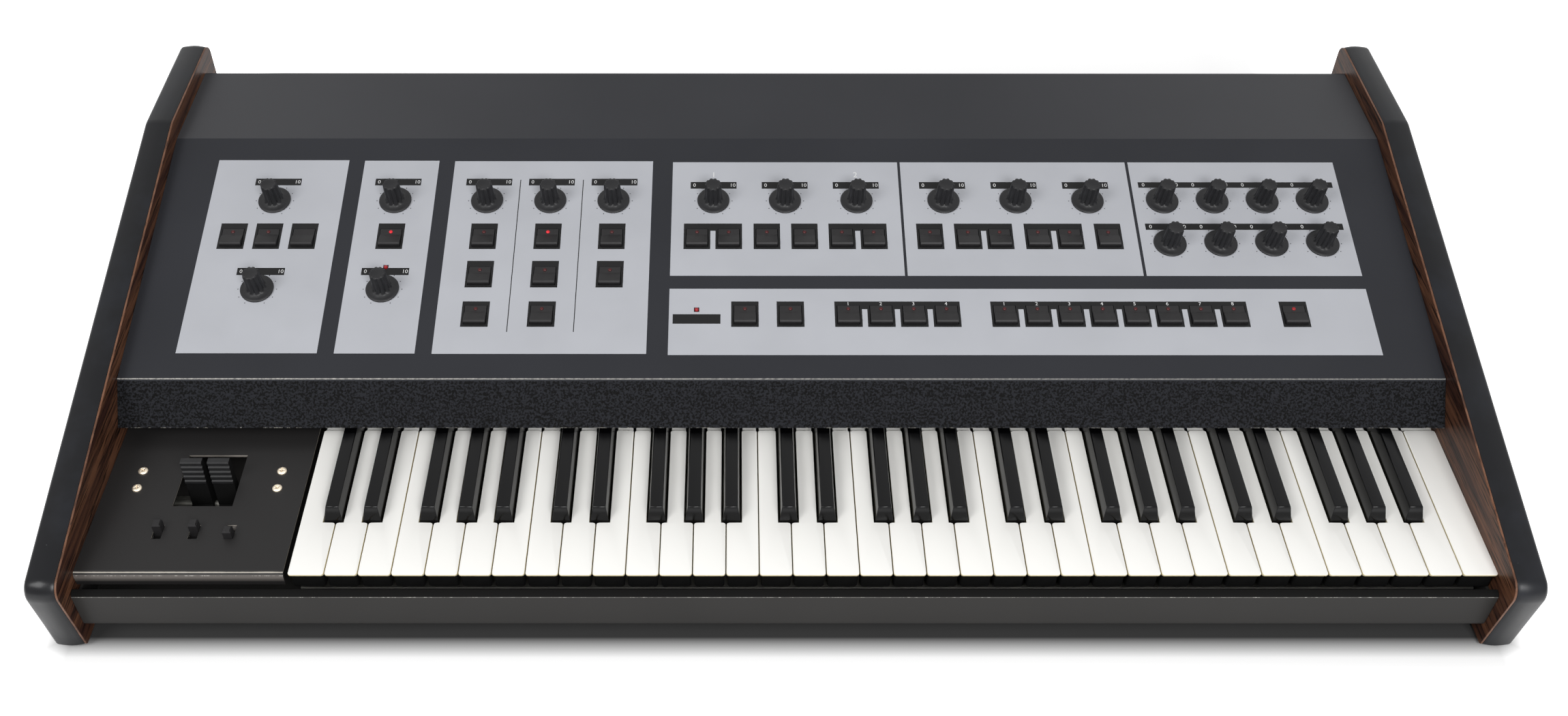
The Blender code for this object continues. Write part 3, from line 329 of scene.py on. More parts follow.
def wear_and_highlight_edge(tree, place, tone, steel, height, reach, spot, start, soft=0.04, share=1.0):
    """Pale marks near a height, in spots of a size in millimetres: bare steel, and on two bends
    partly a painted highlight.
    """
    away = add_node(tree, "SeparateXYZ", place, output="Z")
    away = add_node(tree, "Math", away, height, operation="SUBTRACT")
    away = add_node(tree, "Math", away, operation="ABSOLUTE")
    near = add_node(tree, "MapRange", away, reach * MM, 0.0)
    spots = add_node(tree, "TexNoise", place, per_metre(spot), 4.0, 0.7)
    bare = add_node(tree, "Math", near, spots, operation="MULTIPLY")
    bare = add_node(tree, "MapRange", bare, start, start + soft)
    bare = add_node(tree, "Math", bare, share, operation="MULTIPLY")
    return add_node(tree, "Mix", bare, tone, linear(steel), data_type="RGBA")


# %% Paint the panel
panel_paint, tree, shader, place, tone = baked_enamel("charcoal enamel", "#2d2e32", sheen=0.13)
height = add_node(tree, "SeparateXYZ", place, output="Z")
strip = add_node(tree, "MapRange", height, FOLD_HEIGHT - 0.8 * MM, FOLD_HEIGHT - 1.6 * MM)
coarse = add_node(tree, "TexNoise", place, per_metre(1.6), 3.0, 0.6)
grains = add_node(tree, "MapRange", coarse, 0.43, 0.57)
grains = add_node(tree, "Mix", grains, linear("#020202"), linear("#232428"), data_type="RGBA")
tone = add_node(tree, "Mix", strip, tone, grains, data_type="RGBA")
# Dust and painted sheen: level faces turn lighter grey, more so towards the deck's ends.
level = add_node(tree, "NewGeometry", output="True Normal")
level = add_node(tree, "SeparateXYZ", level, output="Z")
level = add_node(tree, "MapRange", level, 0.985, 0.995)
across = add_node(tree, "SeparateXYZ", place, output="X")
outward = add_node(tree, "Math", across, operation="ABSOLUTE")
outward = add_node(tree, "MapRange", outward, 0.15, 0.48, 0.08, 0.45)
dust_and_sheen = add_node(tree, "Math", level, outward, operation="MULTIPLY")
tone = add_node(tree, "Mix", dust_and_sheen, tone, linear("#5a5a5c"), data_type="RGBA")
leftward = add_node(tree, "MapRange", across, 0.2, -0.35, 0.55)
# The pale line along the upper fold is partly worn steel and partly a painted highlight, strongest on
# the left.
tone = wear_and_highlight_edge(tree, place, tone, "#c4c1bb", FOLD_HEIGHT - 0.3 * MM, 0.5, 3.0, 0.22, 0.25, leftward)
tone = wear_and_highlight_edge(tree, place, tone, "#a5a29a", KEY_TOP + 14.5 * MM, 1.0, 5.0, 0.50)
tree.links.new(tone, shader.inputs["Base Color"])
tree.links.new(add_node(tree, "MapRange", strip, 0.0, 1.0, 0.46, 0.8), shader.inputs["Roughness"])
fine = add_node(tree, "TexNoise", place, per_metre(0.5))
peel = add_node(tree, "Mix", strip, fine, coarse)
tree.links.new(add_node(tree, "Bump", 1.0, 0.06 * MM, 0.1, peel), shader.inputs["Normal"])

# %% Paint the rails and the lever plate
# Painted shade: the rail's top, from about 10.5 mm under the key tops upward, is made near-black and
# matt where the keys overhang it.
SHADED_TOP = (KEY_TOP - 10.8 * MM, KEY_TOP - 10.2 * MM)
rail_paint, tree, shader, place, tone = baked_enamel(
    "charcoal enamel of the rails", "#302f2e", sheen=0.13)
height = add_node(tree, "SeparateXYZ", place, output="Z")
painted_shade = add_node(tree, "MapRange", height, *SHADED_TOP, 0.0, 0.9)
tone = add_node(tree, "Mix", painted_shade, tone, linear("#040404"), data_type="RGBA")
tone = wear_and_highlight_edge(tree, place, tone, "#6a6966", KEY_TOP - 11.0 * MM, 0.5, 30.0, 0.15, 0.3)
tone = wear_and_highlight_edge(tree, place, tone, "#c5c3bc", KEY_TOP - 10.9 * MM, 0.7, 3.0, 0.50)
tree.links.new(tone, shader.inputs["Base Color"])
tree.links.new(add_node(tree, "MapRange", height, *SHADED_TOP, 0.46, 0.9), shader.inputs["Roughness"])

plate_paint, tree, shader, place, tone = baked_enamel(
    "black enamel of the lever plate", "#1f1e1e", 0.7, 0.04, 0.50)
height = add_node(tree, "SeparateXYZ", place, output="Z")
# The front faces of the lip's upper part are lighter: partly paint rubbed by hands, partly painted
# light on a face that takes little light.
handled_and_lit = add_node(tree, "MapRange", height, KEY_TOP - 9.0 * MM, KEY_TOP - 4.0 * MM)
facing = add_node(tree, "NewGeometry", output="True Normal")
facing = add_node(tree, "SeparateXYZ", facing, output="Y")
facing = add_node(tree, "MapRange", facing, -0.9, -0.99)
handled_and_lit = add_node(tree, "Math", handled_and_lit, facing, operation="MULTIPLY")
tone = add_node(tree, "Mix", handled_and_lit, tone, linear("#726d69"), data_type="RGBA")
# The pale line along the lip's top bend is partly worn paint and partly a painted highlight.
tone = wear_and_highlight_edge(tree, place, tone, "#b3ada3", KEY_TOP - 0.6 * MM, 0.4, 30.0, 0.12, 0.2)
tone = wear_and_highlight_edge(tree, place, tone, "#dfdcd4", KEY_TOP - 2.6 * MM, 0.8, 3.0, 0.50)
tree.links.new(tone, shader.inputs["Base Color"])
print("enamels:", panel_paint.name, "and", plate_paint.name)

# %% [markdown]
# ## Inks
# The panel's grey fields, black label bars and scale dots are silk-screened: a squeegee
# pushes thick epoxy ink through a mesh onto the enamel. The ink is flat in colour and a
# touch duller than the paint.

# %% Mix the inks
def screen_ink(name, colour):
    material, tree, shader, place = new_finish(name, colour, 0.62)
    mottle = add_node(tree, "TexNoise", place, per_metre(60.0), 3.0)
    mottle = add_node(tree, "MapRange", mottle, 0.3, 0.7)
    tone = add_node(tree, "Mix", mottle, linear(colour), linear(colour, 0.93), data_type="RGBA")
    tree.links.new(tone, shader.inputs["Base Color"])
    mesh = add_node(tree, "TexNoise", place, per_metre(0.6))
    tree.links.new(add_node(tree, "Bump", 1.0, 0.008 * MM, 0.1, mesh), shader.inputs["Normal"])
    return material


grey_ink = screen_ink("grey screen ink", "#babcc2")
black_ink = screen_ink("black screen ink", "#0d0d0e")
white_ink = screen_ink("white screen ink", "#e4e4e4")
print("inks:", [ink.name for ink in (grey_ink, black_ink, white_ink)])

# %% [markdown]
# ## Plastics, steel and lamps
# The key tops are cast acrylic, polished, a little yellow on their sides where light and
# hands age them, on bodies painted near-black, a painted shade that keeps the space under
# the caps dark. The sharps are the same plastic in black, their sides painted a little
# lighter than their tops, a painted light. Knobs, levers and switch caps are matt black
# ABS from a sparked mould. The screws and brackets are zinc-plated steel, and the lamps
# are red epoxy: most are dark, and a few glow.

# %% Make the small parts' finishes
def key_acrylic(name, colour, aged_and_lit_sides, sheen=AGED_SHEEN):
    material, tree, shader, place = new_finish(name, colour, 0.16, 1.49, sheen=sheen)
    upward = add_node(tree, "NewGeometry", output="True Normal")
    upward = add_node(tree, "SeparateXYZ", upward, output="Z")
    upward = add_node(tree, "MapRange", upward, 0.2, 0.9)
    tone = add_node(tree, "Mix", upward, linear(aged_and_lit_sides), linear(colour), data_type="RGBA")
    tree.links.new(tone, shader.inputs["Base Color"])
    touched = add_node(tree, "TexNoise", place, per_metre(25.0), 3.0)
    tree.links.new(add_node(tree, "MapRange", touched, 0.3, 0.7, 0.12, 0.22),
                   shader.inputs["Roughness"])
    return material


def moulded_abs(name, colour, roughness, sheen=AGED_SHEEN):
    material, tree, shader, place = new_finish(name, colour, roughness, 1.54, sheen=sheen)
    worn = add_node(tree, "TexNoise", place, per_metre(8.0), 3.0)
    worn = add_node(tree, "MapRange", worn, 0.45, 0.8)
    tone = add_node(tree, "Mix", worn, linear(colour), linear(colour, 1.5), data_type="RGBA")
    tree.links.new(tone, shader.inputs["Base Color"])
    spark = add_node(tree, "TexNoise", place, per_metre(0.35))
    tree.links.new(add_node(tree, "Bump", 1.0, 0.012 * MM, 0.1, spark), shader.inputs["Normal"])
    return material


def zinc_plate(name, colour, roughness):
    material, tree, shader, place = new_finish(name, colour, roughness, metallic=1.0)
    bloom = add_node(tree, "TexNoise", place, per_metre(4.0), 4.0, 0.6)
    dull = add_node(tree, "MapRange", bloom, 0.3, 0.7, roughness - 0.08, roughness + 0.12)
    tree.links.new(dull, shader.inputs["Roughness"])
    return material


def lamp_epoxy(name, colour, glow):
    material, tree, shader, place = new_finish(name, colour, 0.18, 1.55)
    shader.inputs["Emission Color"].default_value = linear(colour)
    shader.inputs["Emission Strength"].default_value = glow
    return material


ivory = key_acrylic("white acrylic", "#fbfaf6", "#dcd1ac")
# Painted shade: the bodies under the key caps and the levers' lower parts are near-black, so the
# space under them reads dark.
shade_black_body = moulded_abs("key body painted black for shade", "#080808", 0.7, 0.12)
# The sharps' sides take a lighter black than their tops: painted light.
ebony = key_acrylic("black acrylic", "#040405", "#0c0c0d", 0.22)
knob_abs = moulded_abs("black knob ABS", "#18181a", 0.44)
cap_abs = moulded_abs("black switch ABS", "#1c1b1c", 0.5)
lever_abs = moulded_abs("black lever ABS", "#1c1c1d", 0.42)
zinc = zinc_plate("zinc-plated steel", "#b9b9b4", 0.34)
screw_steel = zinc_plate("yellowed zinc screws", "#f0e4d0", 0.52)
dull_zinc = zinc_plate("dull zinc-plated steel", "#8f8e88", 0.5)
dark_lamp = lamp_epoxy("red lamp, dark", "#4a0f12", 0.0)
faint_lamp = lamp_epoxy("red lamp, faint", "#8e1c20", 0.25)
lit_lamp = lamp_epoxy("red lamp, lit", "#c81e2a", 0.45)
laminate = baked_enamel("green board laminate", "#1d4a2b", 0.8, 0.02, 0.4)[0]
print(len(bpy.data.materials), "materials so far")

# %% [markdown]
# ## Tools for solid pieces
# Nearly every part here is either a section drawn out straight, like sheet and keys, or a
# row of rings joined up, like knobs and cheeks. One function joins rings of equally many
# points into a closed skin. Another turns the skin into an object, softens its edges with
# a bevel as a mould or a file does, and hands it to the body that it moves with.

# %% Join rings and place pieces
def join_rings(form, rings, looped=False):
    loops = [[form.verts.new(point) for point in ring] for ring in rings]
    pairs = list(zip(loops, loops[1:]))
    if looped:
        pairs.append((loops[-1], loops[0]))
    faces = [form.faces.new((low[i - 1], low[i], high[i], high[i - 1]))
             for low, high in pairs for i in range(len(low))]
    if not looped:
        faces += [form.faces.new(loops[0]), form.faces.new(loops[-1])]
    bmesh.ops.recalc_face_normals(form, faces=faces)
    return faces


def stand(outline, axis, level):
    turns = {"X": lambda a, b: (level, a, b), "Y": lambda a, b: (a, level, b),
             "Z": lambda a, b: (a, b, level)}
    return [turns[axis](*point) for point in outline]


def draw_out(form, outline, axis, low, high):
    return join_rings(form, [stand(outline, axis, low), stand(outline, axis, high)])


def add_block(form, low, high):
    corners = [(low[0], low[1]), (high[0], low[1]), (high[0], high[1]), (low[0], high[1])]
    return draw_out(form, corners, "Z", low[2], high[2])


def disc(radius, sides, centre=(0.0, 0.0)):
    return [(centre[0] + radius * math.cos(math.tau * i / sides),
             centre[1] + radius * math.sin(math.tau * i / sides)) for i in range(sides)]


def to_mesh(name, form, *finishes):
    mesh = bpy.data.meshes.new(name)
    form.to_mesh(mesh)
    form.free()
    for finish in finishes:
        mesh.materials.append(finish)
    mesh.shade_smooth()
    mesh.set_sharp_from_angle(angle=math.radians(40))
    return mesh


def put(name, mesh, body, place=Matrix.Identity(4), node=None, bevel=0.0):
    piece = bpy.data.objects.new(name, mesh)
    bpy.context.scene.collection.objects.link(piece)
    piece.matrix_world = place
    if bevel:
        soften = piece.modifiers.new("soft edges", "BEVEL")
        soften.width = bevel
        soften.segments = 2
        soften.limit_method = "ANGLE"
        soften.angle_limit = math.radians(28)
        soften.harden_normals = True
    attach(piece, body)
    if node:
        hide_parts(node)
    return piece


def coat(finish, *nodes):
    for node in nodes:
        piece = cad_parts[node]
        piece.data.materials.clear()
        piece.data.materials.append(finish)


# %% [markdown]
# ## The cheeks
# Each cheek is 23.5 mm thick. From the side it has a straight back, a long edge that
# slopes as the panel does, a rounded nose and a front that leans back to its toe. A vinyl
# moulding wraps the edge: its face is a low crown and its outer corner is rounded to 4 mm.
# The veneered inner board ends beside it as a thin line of bare wood.

# %% Draw the cheek's side view and build both cheeks
def arc_corner(before, corner, after, radius, steps):
    inward = (corner - before).normalized()
    onward = (after - corner).normalized()
    turn = math.atan2(inward.x * onward.y - inward.y * onward.x, inward.dot(onward))
    start = corner - inward * radius * math.tan(abs(turn) / 2)
    side = math.copysign(1.0, turn)
    centre = start + Vector((-inward.y, inward.x)) * radius * side
    return [centre + Matrix.Rotation(turn * step / steps, 2) @ (start - centre)
            for step in range(steps + 1)]


def cheek_side(inset):
    """The side view as (y, z) points, drawn in from the outer edge by an inset."""
    toe, nose, back = (KEY_FRONT + y * MM for y in (-17.5, -26.0, 508.0))
    foot, edge, top = 1 * MM, 80 * MM, 173.5 * MM
    brow = KEY_FRONT + (top - edge) / math.tan(SLOPE)
    drop = (KEY_FRONT - nose) * math.tan(SLOPE)
    corners = [Vector(point) for point in ((toe, foot), (back, foot), (back, top), (brow, top),
                                           (nose, edge - drop))]
    count = len(corners)
    edges = []
    for i in range(count):
        run = (corners[i] - corners[i - 1]).normalized()
        edges.append((corners[i - 1] + Vector((-run.y, run.x)) * inset, run))
    inner = []
    for i in range(count):
        (here, run), (there, next_run) = edges[i], edges[(i + 1) % count]
        inner.append(here + run * ((there - here).cross(next_run) / run.cross(next_run)))
    radii = [3 * MM, 11 * MM, 11 * MM, 24 * MM, 14 * MM]
    points = []
    for i, radius in enumerate(radii):
        rounding = max(radius - inset, 0.5 * MM)
        points += arc_corner(inner[i - 1], inner[i], inner[(i + 1) % count], rounding, 9)
    return [tuple(point) for point in points]


for side, name in ((-1, "left"), (1, "right")):
    def cheek_ring(depth, inset):
        return stand(cheek_side(inset * MM), "X", side * (INNER / 2 + depth * MM))

    form = bmesh.new()
    join_rings(form, [cheek_ring(0.0, 1.6), cheek_ring(0.2, 1.4), cheek_ring(1.5, 1.4),
                      cheek_ring(1.5, 8.3), cheek_ring(22.9, 8.3)])
    put(f"{name}_cheek_board", to_mesh("cheek board", form, veneer), "chassis",
        node=f"{name}_cheek")
    section = [(1.8, 8.0), (1.8, 1.5), (2.2, 1.2), (4.5, 0.7), (7.5, 0.2), (10.7, 0.0),
               (14.0, 0.15), (17.0, 0.45)]
    for step in range(7):
        turn = math.pi / 2 * (0.15 + 0.85 * step / 6)
        section.append((19.5 + 4.0 * math.sin(turn), 0.8 + 4.0 * (1 - math.cos(turn))))
    section.append((23.5, 8.0))
    form = bmesh.new()
    join_rings(form, [cheek_ring(*point) for point in section], looped=True)
    put(f"{name}_cheek_moulding", to_mesh("cheek moulding", form, vinyl), "chassis",
        node=f"{name}_moulding")

# %% [markdown]
# ## Sheet metal
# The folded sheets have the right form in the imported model, so they only get their coats.

# %% Coat the sheets
coat(panel_paint, "control_panel")
coat(rail_paint, "front_rail", "rear_panel", "base_pan")
coat(plate_paint, "bender_plate")
coat(dull_zinc, "lever_bracket", "power_transformer")
coat(laminate, "main_board")
coat(cap_abs, "mains_inlet", "oscillator_switch", "range_switch", "octave_switch")
print("the sheets, boards and slide switches have their coats")

# %% [markdown]
# ## The knobs
# A knob is one ABS moulding: a flat skirt 26 mm across with a thin rim, and a tapering
# grip 22 mm tall with ten grooves for the fingers. Its rings have six points for each
# groove, and the radius dips between the ridges like a scalloped edge. All 21 knobs share
# one mesh, and each stands in for the plainer CAD knob on the same shaft.

# %% Turn the knob and place 21 of them
GROOVES = 10
STAGE_STEP = 40.6
ROWS = {"knob": 169.5, "tune": 82.0, "loudness": 126.5, "upper": 132.3, "middle": 95.0,
        "lower": 58.0}
MANUAL, CONTROL = column_at(92.22), column_at(189.94)
MODULATION = [column_at(part) for part in (264.21, 315.36, 366.51)]
KNOBS = {"volume": (MANUAL, "knob"), "tune": (MANUAL, "tune"), "portamento": (CONTROL, "knob"),
         "detune": (CONTROL, "tune"), "lfo_rate": (MODULATION[0], "knob"),
         "pitch_depth": (MODULATION[1], "knob"), "pulse_depth": (MODULATION[2], "knob"),
         "pitch_1": (column_at(447.37), "knob"), "pulse_width": (column_at(505.3), "knob"),
         "pitch_2": (column_at(563.23), "knob"), "cutoff": (column_at(633.62), "knob"),
         "resonance": (column_at(691.94), "knob"), "filter_amount": (column_at(750.27), "knob")}
for number, stage in enumerate(("attack", "decay", "sustain", "release")):
    KNOBS[f"filter_{stage}"] = (column_at(810.79) + STAGE_STEP * number, "knob")
    KNOBS[f"loudness_{stage}"] = (column_at(810.79) + STAGE_STEP * number, "loudness")


def grip_ring(radius, level, groove=0.0):
    ring = []
    for i in range(GROOVES * 6):
        turn = math.tau * i / (GROOVES * 6)
        dip = max(0.0, -math.cos(turn * GROOVES)) ** 0.7
        reach = (radius - groove * dip) * MM
        ring.append((reach * math.cos(turn), reach * math.sin(turn), level * MM))
    return ring


form = bmesh.new()
join_rings(form, [
    grip_ring(12.4, 0.4), grip_ring(13.0, 0.7), grip_ring(13.0, 1.5), grip_ring(12.6, 1.9),
    grip_ring(11.0, 2.1), grip_ring(8.6, 2.5), grip_ring(7.9, 3.1, 0.3),
    grip_ring(7.4, 3.9, 1.1), grip_ring(6.95, 12.0, 1.1), grip_ring(6.5, 21.0, 1.0),
    grip_ring(6.1, 21.7, 0.8), grip_ring(5.2, 22.0, 0.2), grip_ring(4.6, 21.7)])
knob_mesh = to_mesh("knob", form, knob_abs)
for name, (column, row) in KNOBS.items():
    spot = on_panel @ Matrix.Translation((column * MM, ROWS[row] * MM, 0.0))
    put(f"{name}_grip", knob_mesh, f"{name}_knob", spot, f"{name}_knob")
print(len(KNOBS), "knobs")

# %% [markdown]
# ## The push buttons
# A button is a square wedge of ABS, hinged at its back edge: level round the lamp, then
# rising to 4 mm at a bevelled front. Seven caps move. The other 32 stand on the circuit
# board, which is one node of the model, so board, pots and caps together replace it.

# %% Mould the caps
CAP = 17.0
BUTTON_STEP = 25.4
MOVING = {"auto": (MANUAL - 28.4, "upper"), "hold": (MANUAL, "upper"),
          "reset": (MANUAL + 28.4, "upper")}
GROUP, PROGRAM = column_at(552.46), column_at(673.4)
for number, group in enumerate("abcd"):
    MOVING[f"group_{group}"] = (GROUP + BUTTON_STEP * number, "lower")
SOURCES = [column_at(part) for part in (
    434.51, 459.83, 490.24, 520.36, 550.26, 575.59, 620.56, 650.87, 676.19, 706.8, 732.12, 763.04)]
EDIT, PLAY, WRITE = (column_at(part) for part in (472.5, 507.69, 897.24))
FIXED = [(column, "upper") for column in [CONTROL, *MODULATION, *SOURCES]]
FIXED += [(column, "middle") for column in MODULATION]
FIXED += [(column, "lower") for column in [*MODULATION[:2], EDIT, PLAY, WRITE]]
FIXED += [(PROGRAM + BUTTON_STEP * number, "lower") for number in range(8)]

HINGE_TO_LAMP = 3.1
cap_side = [(0.0, -1.2), (0.0, 0.6), (-6.0, 0.6), (-6.9, 1.1), (-7.6, 1.5), (-15.8, 4.0),
            (-17.0, 2.8), (-17.0, -1.2)]
form = bmesh.new()
draw_out(form, [(y * MM, z * MM) for y, z in cap_side], "X", -CAP / 2 * MM, CAP / 2 * MM)
cap_mesh = to_mesh("button cap", form, cap_abs)


def lamp_form(radius, height):
    form = bmesh.new()
    rings = []
    for step in range(5):
        turn = math.pi / 2 * step / 5
        rings.append(stand(disc(radius * math.cos(turn) * MM, 16), "Z",
                           height * math.sin(turn) * MM))
    join_rings(form, [stand(disc(radius * MM, 16), "Z", -0.5 * MM), *rings])
    return form


dark_mesh = to_mesh("dark lamp", lamp_form(1.5, 0.9), dark_lamp)
lit_mesh = to_mesh("lit lamp", lamp_form(1.5, 0.9), lit_lamp)
faint_mesh = to_mesh("faint lamp", lamp_form(1.5, 0.9), faint_lamp)
GLOW = {(MODULATION[1], "upper"): lit_mesh, (CONTROL, "upper"): lit_mesh,
        (WRITE, "lower"): faint_mesh}


def button_at(label, body, column, row, node=None):
    spot = on_panel @ Matrix.Translation((column * MM, (ROWS[row] + CAP / 2) * MM, 0.0))
    put(f"{label}_cap", cap_mesh, body, spot, node, 0.45 * MM)
    if label != "reset":
        lamp_spot = spot @ Matrix.Translation((0.0, -HINGE_TO_LAMP * MM, 0.6 * MM))
        bulb = GLOW.get((column, row), dark_mesh)
        put(f"{label}_lamp", bulb, body, lamp_spot)


for name, (column, row) in MOVING.items():
    button_at(name, f"{name}_button", column, row, f"{name}_button")
for number, (column, row) in enumerate(FIXED, 1):
    button_at(f"button_{number:02d}", "chassis", column, row)

# %% Fit the circuit board under them
BOARD_TOP = -24 * MM
SHEET_BELOW = -2.3 * MM
form = bmesh.new()
add_block(form, (45 * MM, 36 * MM, BOARD_TOP - 1.6 * MM), (INNER - 45 * MM, 196 * MM, BOARD_TOP))
put("panel_circuit_board", to_mesh("panel board", form, laminate), "chassis", on_panel,
    "panel_board")
form = bmesh.new()
for column, row in KNOBS.values():
    pot = disc(8 * MM, 24, (column * MM, ROWS[row] * MM))
    draw_out(form, pot, "Z", BOARD_TOP, BOARD_TOP + 8 * MM)
for column in (51, INNER / 2 / MM, INNER / MM - 51):
    for row in (42, 190):
        draw_out(form, disc(3 * MM, 16, (column * MM, row * MM)), "Z", BOARD_TOP, SHEET_BELOW)
put("pots_and_posts", to_mesh("pots", form, zinc), "chassis", on_panel, bevel=0.3 * MM)
form = bmesh.new()
for column, row in [*MOVING.values(), *FIXED]:
    x, y, half = column * MM, ROWS[row] * MM, 7.2 * MM
    room = 0.9 * MM if (column, row) in MOVING.values() else 0.0
    add_block(form, (x - half, y - half, BOARD_TOP), (x + half, y + half, SHEET_BELOW - room))
put("switch_blocks", to_mesh("switch blocks", form, cap_abs), "chassis", on_panel)
form = bmesh.new()
PANEL_LAMPS = ((CONTROL, 103.3), (column_at(435.11), 62.7))
for column, row in PANEL_LAMPS:
    bulb = lamp_form(1.6, 1.6)
    bmesh.ops.translate(bulb, verts=bulb.verts, vec=(column * MM, row * MM, 0.3 * MM))
    loose = bpy.data.meshes.new("loose lamp")
    bulb.to_mesh(loose)
    bulb.free()
    form.from_mesh(loose)
put("panel_lamps", to_mesh("panel lamps", form, faint_lamp), "chassis", on_panel)
print(len(MOVING), "moving caps and", len(FIXED), "fixed ones")

# %% [markdown]
# ## The printed panel
# The grey fields, the black frames round the buttons and the label bars are ink films.
# Every printed shape is a rectangle, so the film is cut into cells along all their edges,
# as a ruler would cut card. Each cell takes the ink that was printed last there, and cells
# over a button's window, a knob's shaft or a lamp are left out. The film lies 0.08 mm over
# the sheet, which no eye can see, so that two surfaces never share a plane.

# %% Lay out the ink
INK_LEVEL, INK_THICKNESS = 0.08, 0.05


def films(name, layers, holes):
    boxes = [box for box, ink in layers]
    across = sorted({x for box in boxes + holes for x in (box[0], box[2])})
    upward = sorted({y for box in boxes + holes for y in (box[1], box[3])})
    form = bmesh.new()
    corners = {}

    def corner(x, y):
        if (x, y) not in corners:
            corners[x, y] = form.verts.new((x * MM, y * MM, INK_LEVEL * MM))
        return corners[x, y]

    def inside(box, x, y):
        return box[0] < x < box[2] and box[1] < y < box[3]

    for left, right in zip(across, across[1:]):
        for low, high in zip(upward, upward[1:]):
            x, y = (left + right) / 2, (low + high) / 2
            inks = [ink for box, ink in layers if inside(box, x, y)]
            if inks and not any(inside(hole, x, y) for hole in holes):
                cell = form.faces.new((corner(left, low), corner(right, low),
                                       corner(right, high), corner(left, high)))
                cell.material_index = inks[-1]
    mesh = to_mesh(name, form, grey_ink, black_ink)
    mesh.shade_flat()
    film = put(name, mesh, "chassis", on_panel)
    build = film.modifiers.new("ink thickness", "SOLIDIFY")
    build.thickness = INK_THICKNESS * MM
    build.offset = 1.0
    return len(mesh.polygons)


GREY, BLACK = 0, 1
fields = {"manual": (40.0, 22.5, 147.5, 212.0), "control": (160.5, 22.3, 222.0, 211.5),
          "modulation": (235.0, 22.0, 398.5, 211.0), "oscillators": (415.0, 95.0, 600.0, 210.0),
          "filter": (602.2, 95.0, 788.0, 210.0), "envelopes": (790.4, 95.0, 960.0, 210.0),
          "programmer": (415.0, 21.0, 960.0, 82.5)}
prints = {name: [(box, GREY)] for name, box in fields.items()}


def print_black(left, low, right, high):
    x, y = (left + right) / 2, (low + high) / 2
    for name, box in fields.items():
        if box[0] < x < box[2] and box[1] < y < box[3]:
            prints[name].append(((left, low, right, high), BLACK))


def label_height(column, row):
    """How far up the panel the label bar of a knob lies."""
    if row != "knob":
        return {"tune": 99.0, "loudness": 143.4}[row]
    if column > fields["envelopes"][0]:
        return 186.2
    return 185.7 if column > fields["oscillators"][0] else 189.0


BAR_HALF = 18.75
FRAME_HALF = 10.65
FRAME_SPAN = {"upper": (121.0, 146.5), "middle": (83.7, 109.4), "lower": (46.7, 70.5)}
for column, row in [*MOVING.values(), *FIXED]:
    low, high = FRAME_SPAN[row]
    print_black(column - FRAME_HALF, low, column + FRAME_HALF, high)
for first, last, row in ((SOURCES[0], SOURCES[1], "upper"), (SOURCES[4], SOURCES[5], "upper"),
                         (SOURCES[7], SOURCES[8], "upper"), (SOURCES[9], SOURCES[10], "upper"),
                         (GROUP, GROUP + 3 * BUTTON_STEP, "lower"),
                         (PROGRAM, PROGRAM + 7 * BUTTON_STEP, "lower")):
    high = FRAME_SPAN[row][1]
    print_black(first, high - 7.3, last, high)
for column, row in KNOBS.values():
    if column < fields["envelopes"][0]:
        bar = label_height(column, row)
        print_black(column - BAR_HALF, bar - 3.5, column + BAR_HALF, bar + 3.5)
print_black(796.0, 183.3, 955.0, 189.1)
print_black(796.0, 140.3, 955.0, 146.6)
print_black(418.0, 49.6, 455.0, 58.5)
for first, second in zip(MODULATION, MODULATION[1:]):
    middle = (first + second) / 2
    print_black(middle - 0.35, 42.0, middle + 0.35, 191.5)

windows = []
for places, half in (([*MOVING.values(), *FIXED], 8.9), (KNOBS.values(), 4.0), (PANEL_LAMPS, 2.1)):
    for column, row in places:
        y = ROWS.get(row, row)
        windows.append((column - half, y - half, column + half, y + half))
for name, layers in prints.items():
    box = fields[name]
    holes = [w for w in windows if box[0] < w[0] and w[2] < box[2] and box[1] < w[1] < box[3]]
    cells = films(f"{name}_print", layers, holes)
    print(f"{name} field: {cells} cells of ink")

# %% [markdown]
# ## Scale dots and numerals
# Eleven dots ring each knob, from seven o'clock round to five o'clock. Plain numerals
# stand on the label bars, over two pitch knobs and over the group and program buttons, in
# white ink. Text in Blender is a curve, so each numeral is drawn as a curve, turned to a
# mesh and gathered in one film.

# %% Print the dots
SCALE_RADIUS, DOT_RADIUS = 15.1, 0.42
form = bmesh.new()
for column, row in KNOBS.values():
    for number in range(11):
        turn = math.radians(-60 + 30 * number)
        x = column - SCALE_RADIUS * math.cos(turn)
        y = ROWS[row] + SCALE_RADIUS * math.sin(turn)
        dot = disc(DOT_RADIUS * MM, 8, (x * MM, y * MM))
        draw_out(form, dot, "Z", 0.13 * MM, 0.17 * MM)
put("scale_dots", to_mesh("scale dots", form, black_ink), "chassis", on_panel)

# %% Print the numerals
numerals = bmesh.new()


def print_numeral(text, x, y, size):
    curve = bpy.data.curves.new("numeral", "FONT")
    curve.body = text
    curve.size = size * 1.35 * MM
    curve.align_x = "CENTER"
    curve.align_y = "CENTER"
    curve.extrude = 0.02 * MM
    curve.resolution_u = 3
    drawn = bpy.data.objects.new("numeral", curve)
    bpy.context.scene.collection.objects.link(drawn)
    bpy.context.view_layer.update()
    mesh = bpy.data.meshes.new_from_object(
        drawn.evaluated_get(bpy.context.evaluated_depsgraph_get()))
    mesh.transform(Matrix.Translation((x * MM, y * MM, 0.16 * MM)))
    numerals.from_mesh(mesh)
    bpy.data.objects.remove(drawn)
    bpy.data.meshes.remove(mesh)


